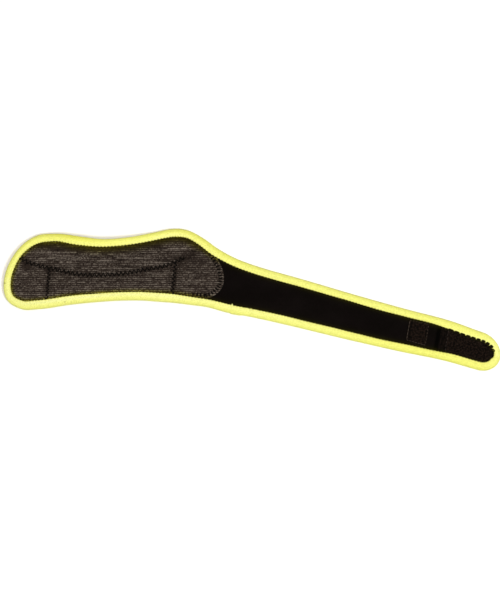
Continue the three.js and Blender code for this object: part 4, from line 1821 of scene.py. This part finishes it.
@dataclass
class HookPatch:
    """What the two hook patches share: a woven backing, rows of hooks, and stitches that hold it down."""

    backing: float = 0.6
    hook_height: float = 0.95
    hook_reach: float = 0.55
    hook_stem: float = 0.45
    hook_root: float = 0.15
    hook_bend: float = math.pi * 1.15
    hook_sizes: tuple[float, float] = (0.88, 1.08)
    hook_lean: float = 0.12
    hook_wire: float = 0.14
    hook_pitch: float = 1.45
    glow_reach: float = 0.8
    edge_round: float = 0.7
    stitch_rise: float = 0.3
    stitch_sink: float = 0.12
    back_sink: float = 0.1
    back_sag: float = 0.25

    @property
    def face(self) -> float:
        """The height of the backing's face."""
        return PATCH_UNDER + self.backing

    def marks(self, points: Array) -> dict[Mark, Array]:
        """Gives the painted yellow light reflected from the binding onto the backing, dying away from the
        lip, and no shade.
        """
        low, high = PLAN.sides(points[..., 0], LIP)
        depth = np.minimum(points[..., 1] - low, high - points[..., 1])
        return {Mark.GLOW: np.exp(-np.maximum(0, depth) / self.glow_reach), Mark.CREASE: np.zeros_like(depth)}

    def hooks(self, places: Array, rows: Array, seed: int) -> tuple[Array, Array]:
        """Stands a hook at each place: a straight stem that bends over, to either side row by row.

        Args:
            places: The hooks' feet in plan.
            rows: The row that each stands in.
            seed: Picks the small differences between them.

        Returns:
            The points and quads.
        """
        spread = np.random.default_rng(seed)
        bend = np.linspace(0, self.hook_bend, 6)[1:]
        out = np.r_[0, 0, self.hook_reach / 2 * (1 - np.cos(bend))]
        crook = self.hook_stem + (self.hook_height - self.hook_stem) * np.sin(bend)
        up = np.r_[-self.hook_root, self.hook_stem, crook]
        size = spread.uniform(*self.hook_sizes, len(places))[:, None]
        lean = spread.normal(0, self.hook_lean, len(places))[:, None]
        side = np.where(rows % 2 == 0, 1.0, -1.0)[:, None]
        x = places[:, :1] + side * out * size
        y = places[:, 1:] + lean * up
        path = np.stack([x, y, self.face + up * size], axis=-1)
        return tubes(PLAN.lifted(path), thread_radius(path.shape[1], self.hook_wire), 4)

    def field(self, low: Array, high: Array, margin: float) -> tuple[Array, Array]:
        """Fills the space between two sides with staggered rows of places.

        Args:
            low: Plan points of the low side.
            high: Plan points of the high side.
            margin: The least distance from the sides.

        Returns:
            The places in plan and the row of each.
        """
        middle = (low + high) / 2
        run = running_length(middle)
        width = np.linalg.norm(high - low, axis=1)
        rows = np.arange(int(width.max() / self.hook_pitch) + 2)
        columns = np.arange(int(run[-1] / self.hook_pitch) + 2)
        row, column = (part.ravel() for part in np.meshgrid(rows, columns, indexing="ij"))
        along = (column + 0.5 * (row % 2)) * self.hook_pitch
        across = (row - rows[-1] / 2) * self.hook_pitch
        half = np.interp(along, run, width) / 2
        keep = (np.abs(across) < half - margin) & (along > margin) & (along < run[-1] - margin)
        foot = follow(along, run, middle)
        tilt = follow(along, run, (high - low) / np.maximum(width, TINY)[:, None])
        return (foot + tilt * across[:, None])[keep], row[keep]

    def stitch(
        self, name: str, line: Array, pitch: float, share: float, thread: float, finish: bpy.types.Material
    ) -> bpy.types.Object:
        """Sews along a line on the backing's face, with a thread on the strap's back below it.

        Args:
            name: The stitching's name.
            line: The line in plan.
            pitch: Length of a stitch.
            share: How much of the pitch the thread shows.
            thread: The thread's radius.
            finish: The thread's material.

        Returns:
            The stitching.
        """
        plan, rise = running_stitches(line, pitch, share, 7)
        above = at_height(plan, self.face + self.stitch_rise * rise - self.stitch_sink)
        below = at_height(plan, BAND_UNDER + self.back_sink - self.back_sag * rise)
        paths = np.concatenate([above, below])
        points, quads = tubes(PLAN.lifted(paths), thread_radius(paths.shape[1], thread), 6)
        return settle(make_piece(name, points, quads), finish, Slot.HOOK)


@dataclass
class HookSquare(HookPatch):
    """The small patch of hook tape, sewn down on all four sides."""

    centre: tuple[float, float] = (153.1, -4.8)
    width: float = 19.2
    left_height: float = 20.0
    right_height: float = 21.2
    turn: float = math.radians(-3.8)
    rake: float = math.radians(0.3)
    corner: float = 1.6
    sewn_inset: float = 0.7
    edge_shade: float = 0.8
    edge_shade_inset: float = 2.1
    edge_shade_reach: float = 0.8

    def sides(self, inset: float) -> tuple[Array, Array]:
        """Gives the patch's two long sides in plan, with round corners.

        Args:
            inset: How far they are moved in from the patch's outline.

        Returns:
            The low and high sides.
        """
        half = self.width / 2 - inset
        corner = max(self.corner - inset, 0.3)
        u = -half * np.cos(np.linspace(0, np.pi, 61))
        lean = 0.5 + u / self.width
        tall = (self.left_height + (self.right_height - self.left_height) * lean) / 2 - inset
        v = tall - corner * (1 - round_end(half - np.abs(u), corner))
        ahead = np.array([math.cos(self.turn), math.sin(self.turn)])
        aside = np.array([-math.sin(self.rake), math.cos(self.rake)])
        put = [u[:, None] * ahead + w[:, None] * aside + self.centre for w in (-v, v)]
        return put[0], put[1]

    def build(self) -> None:
        """Builds the backing, its hooks and the stitching round it."""
        finish = HookFinish()
        low, high = self.sides(0.0)
        points, quads = plate(low, high, self.face, PATCH_UNDER, 41, self.edge_round)
        marks = self.marks(points)
        ahead = (math.cos(self.turn), math.sin(self.turn))
        along = (points[..., :2] - self.centre) @ ahead + self.width / 2
        marks[Mark.CREASE] = self.edge_shade * bell(along - self.edge_shade_inset, self.edge_shade_reach)
        backing = make_piece("hook_square_tape", PLAN.lifted(points), quads, marks=marks)
        settle(backing, finish.tape(), Slot.HOOK, "hook_square")
        places, rows = self.field(low, high, 2.0)
        hooks = make_piece("hook_square_hooks", *self.hooks(places, rows, 31))
        settle(hooks, finish.filament(), Slot.HOOK)
        low, high = self.sides(self.sewn_inset)
        grey = ThreadFinish("grey_thread", linear(76, 67, 57), linear(46, 39, 32), 0.15).material()
        edges = {"left": [high[0], low[0]], "foot": low, "right": [low[-1], high[-1]], "head": high[::-1]}
        for side in SQUARE_STITCH:
            line = evenly(np.asarray(edges[side["side"]]), 200)
            name = f"hook_square_{side['side']}_stitches"
            self.stitch(name, line, side["pitch"], side["share"], side["thread"], grey)


@dataclass
class HookTab(HookPatch):
    """The hook tape at the tail's end: a plain leader, then hooks to the tip, whipped over the binding."""

    start: float = 173.5
    leader_end: float = 180.9
    leader_shade: float = 0.55
    edge_shade: float = 0.95
    edge_shade_ease: tuple[float, float] = (173.8, 175.5)
    tip_seam: float = 217.4
    margin: float = 0.5
    corner: float = 1.2
    seam_pitch: float = 3.2
    seam_share: float = 0.66
    whip_pitch: tuple[float, float] = (6.1, 3.9)
    whip_teeth: int = 10
    whip_strands: int = 11
    whip_slit: float = 0.6
    whip_thread: float = 0.3
    whip_reach: tuple[float, float] = (0.9, 2.1)
    whip_last: float = 0.45
    whip_stop: float = 5.6
    whip_blunt: float = 0.94
    whip_hold: float = 1.3
    whip_over: float = 0.12
    whip_arch: float = 0.25
    whip_sink: float = 0.1

    def sides(self, first: float, last: float | None, inset: float) -> tuple[Array, Array]:
        """Gives the tab's two sides in plan.

        Args:
            first: Where they start along X.
            last: Where they end, or None for the tip.
            inset: Distance in from the strap's edge.

        Returns:
            The low and high sides.
        """
        tip = PLAN.length / 2 - inset
        share = np.sin(np.linspace(0, np.pi / 2, 90))
        x = first + ((tip if last is None else last) - first) * share
        low, high = PLAN.sides(x, inset)
        square = (1 - round_end(x - self.start, self.corner)) * self.corner
        return np.stack([x, low + square], axis=1), np.stack([x, high - square], axis=1)

    def whipping(self, binding: EdgeBinding) -> tuple[Array, Array]:
        """Whips the tab's edge over the binding's lip with bundles of thread, each rounded like a half disc.

        Args:
            binding: The binding that the threads lie on.

        Returns:
            The points and quads.
        """
        inner = binding.lip_line()
        ahead = running_length(inner)
        tip = int(inner[:, 0].argmax())
        pitch = np.linspace(*self.whip_pitch, self.whip_teeth)
        middles = ahead[tip] - self.whip_stop + np.cumsum(pitch) - pitch.sum()
        strand = np.linspace(-1, 1, self.whip_strands)
        spread = (pitch - self.whip_slit) / 2 - self.whip_thread
        spot = middles[:, None] + strand * spread[:, None]
        run = np.interp(spot, ahead, binding.run)
        grow = np.linspace(*self.whip_reach, len(middles))[:, None]
        grow[-1] *= self.whip_last
        out = grow * np.sqrt(1 - np.abs(self.whip_blunt * strand) ** 6)
        share = np.linspace(0, 1, 8)
        width = np.interp(run, binding.run, binding.sewn_width())[..., None]
        inset = width + self.whip_hold - (out + self.whip_hold)[..., None] * share
        run = np.broadcast_to(run[..., None], inset.shape).reshape(-1)
        flat = inset.reshape(-1)
        lip = binding.surface_height(run, flat, above=True) + self.whip_over
        on_tab = (inset > width).reshape(-1)
        arch = self.whip_arch * np.sin(np.pi * np.tile(share, spot.size)) - self.whip_sink
        path = at_height(binding.at(run, flat), np.where(on_tab, self.face, lip) + arch)
        path = path.reshape(spot.size, len(share), 3)
        return tubes(PLAN.lifted(path), thread_radius(len(share), self.whip_thread), 5)

    def build(self, binding: EdgeBinding) -> None:
        """Builds the backing, its hooks, its cross seams and its whipping.

        Args:
            binding: The binding round the tail.
        """
        finish = HookFinish()
        low, high = self.sides(self.start, None, LIP + self.margin)
        points, quads = plate(low, high, self.face, PATCH_UNDER, 41, self.edge_round)
        marks = self.marks(points)
        x = points[..., 0]
        edge = self.edge_shade * (1 - ease(*self.edge_shade_ease, x))
        marks[Mark.CREASE] = np.maximum(edge, np.where(x < self.leader_end, self.leader_shade, 0.0))
        backing = make_piece("hook_tab_tape", PLAN.lifted(points), quads, marks=marks)
        settle(backing, finish.tape(), Slot.HOOK, "hook_tab")
        fields = [(self.leader_end, self.tip_seam), (self.tip_seam, None)]
        grown = [self.field(*self.sides(first, last, LIP + self.margin), 0.9) for first, last in fields]
        places = np.concatenate([places for places, _ in grown])
        rows = np.concatenate([rows for _, rows in grown])
        hooks = make_piece("hook_tab_hooks", *self.hooks(places, rows, 32))
        settle(hooks, finish.filament(), Slot.HOOK)
        grey = ThreadFinish("dull_thread", linear(54, 46, 41), linear(31, 26, 23), 0.12).material()
        black = ThreadFinish("whip_thread", linear(30, 27, 2), linear(12, 10, 1), 0.06).material()
        dark = ThreadFinish("dark_thread", linear(5, 4, 3), linear(2, 1, 1), 0.02).material()
        seams = [("leader_seam", self.leader_end, 0.26, grey), ("tip_seam", self.tip_seam, 0.5, dark)]
        for name, x, thread, yarn in seams:
            low, high = PLAN.sides(np.array([x]), LIP + self.margin + 0.6)
            line = evenly(np.array([[x, high[0]], [x, low[0]]]), 80)
            self.stitch(f"hook_tab_{name}", line, self.seam_pitch, self.seam_share, thread, yarn)
        settle(make_piece("hook_tab_whipping", *self.whipping(binding)), black, Slot.HOOK)


@dataclass
class Studio:
    """The pale table, the soft light and the camera."""

    distance: float = 1200.0
    elevation: float = math.radians(84.5)
    scale: float = 0.929
    aim: tuple[float, float, float] = (-4.9, -3.3, 3.0)
    picture_height: int = 600
    floor_half: float = 6.0
    room: float = 0.24
    key_bearing: float = math.radians(-45)
    key_height: float = math.radians(66)
    key_distance: float = 1.6
    key_size: float = 0.3
    key_power: float = 11.8
    key_tint: tuple[float, float, float] = (0.98, 1.0, 1.06)
    overhead_height: float = 1.9
    overhead_size: float = 1.8
    overhead_power: float = 29.5
    overhead_tint: tuple[float, float, float] = (1.0, 0.95, 0.905)

    def build(self) -> None:
        """Builds the table, the lights and the camera."""
        self.table()
        self.lights()
        self.camera()

    def table(self) -> None:
        """Lays a plain pale table top, gently mottled, at the strap's lowest point."""
        side = np.linspace(-self.floor_half, self.floor_half, 9) / MM
        x, y = np.meshgrid(side, side, indexing="ij")
        points = np.stack([x, y, np.zeros_like(x)], axis=-1)
        floor = make_piece("table_top", points, grid_quads(len(side), len(side)))
        sheet = NodeSheet("pale_table")
        along, across, _ = sheet.place("Object")
        cloud = sheet.noise(along / 400, across / 400)
        white = sheet.mix(cloud, (0.90, 0.90, 0.90, 1), (0.93, 0.93, 0.93, 1))
        finish = sheet.surface({"Base Color": white, "Roughness": 0.9, "Specular IOR Level": 0.1})
        floor.data.materials.append(finish)

    def lights(self) -> None:
        """Hangs a wide soft light overhead and a smaller one to the lower right, in a dim warm room."""
        world = bpy.data.worlds.new("warm_room")
        world.use_nodes = True
        room = world.node_tree.nodes["Background"]
        room.inputs["Color"].default_value = (1.0, 0.94, 0.87, 1.0)
        room.inputs["Strength"].default_value = self.room
        bpy.context.scene.world = world
        bearing, height = self.key_bearing + PICTURE_TURN, self.key_height
        level = math.cos(height)
        ahead = Vector((math.cos(bearing) * level, math.sin(bearing) * level, math.sin(height)))
        self.lamp("key_light", ahead * self.key_distance, self.key_size, self.key_power, self.key_tint)
        above = Vector((0, 0, self.overhead_height))
        self.lamp("overhead_light", above, self.overhead_size, self.overhead_power, self.overhead_tint)
        bpy.context.scene.view_settings.view_transform = "Standard"

    def lamp(
        self, name: str, place: Vector, size: float, power: float, tint: tuple[float, float, float]
    ) -> None:
        """Hangs a round soft light that faces the strap.

        Args:
            name: Its name.
            place: Where it hangs, in metres.
            size: Its diameter in metres.
            power: Its power in watts.
            tint: Its colour.
        """
        disk = bpy.data.lights.new(name, "AREA")
        disk.shape = "DISK"
        disk.size = size
        disk.energy = power
        disk.color = tint
        lamp = bpy.data.objects.new(name, disk)
        lamp.location = place
        lamp.rotation_euler = (-place).to_track_quat("-Z", "Y").to_euler()
        bpy.context.scene.collection.objects.link(lamp)

    def camera(self) -> None:
        """Aims a long lens almost straight down, with the picture's upright turned from the strap's Y."""
        up = Vector((-math.sin(PICTURE_TURN), math.cos(PICTURE_TURN), 0))
        back = Vector((0, 0, 1)) * math.sin(self.elevation) - up * math.cos(self.elevation)
        right = up.cross(back).normalized()
        lens = bpy.data.cameras.new("camera")
        lens.sensor_fit = "VERTICAL"
        lens.sensor_height = 36.0
        lens.lens = lens.sensor_height * self.distance / (self.picture_height * self.scale)
        lens.clip_start, lens.clip_end = 0.01, 100.0
        view = bpy.data.objects.new("camera", lens)
        view.rotation_euler = Matrix((right, back.cross(right), back)).transposed().to_euler()
        view.location = (Vector(self.aim) + back * self.distance) * MM
        bpy.context.scene.collection.objects.link(view)
        bpy.context.scene.camera = view


def main() -> None:
    """Builds the strap's pieces in order, then the studio, and keeps both boxes."""
    logging.basicConfig(level=logging.INFO, format="%(message)s")
    NeopreneBand().build()
    binding = EdgeBinding()
    binding.build()
    yellow = ThreadFinish("yellow_thread", linear(238, 236, 120), linear(205, 200, 90), 0.2).material()
    binding.sew("binding_stitches", above=True, inner=0.4, outer=-1.3, finish=yellow)
    binding.sew("binding_stitches_back", above=False, inner=-0.6, outer=-2.4, finish=yellow)
    cover = PadCover(binding)
    cover.build()
    CoverStitching(cover).build()
    HookSquare().build()
    HookTab().build(binding)
    Studio().build()


if __name__ == "__main__":
    main()
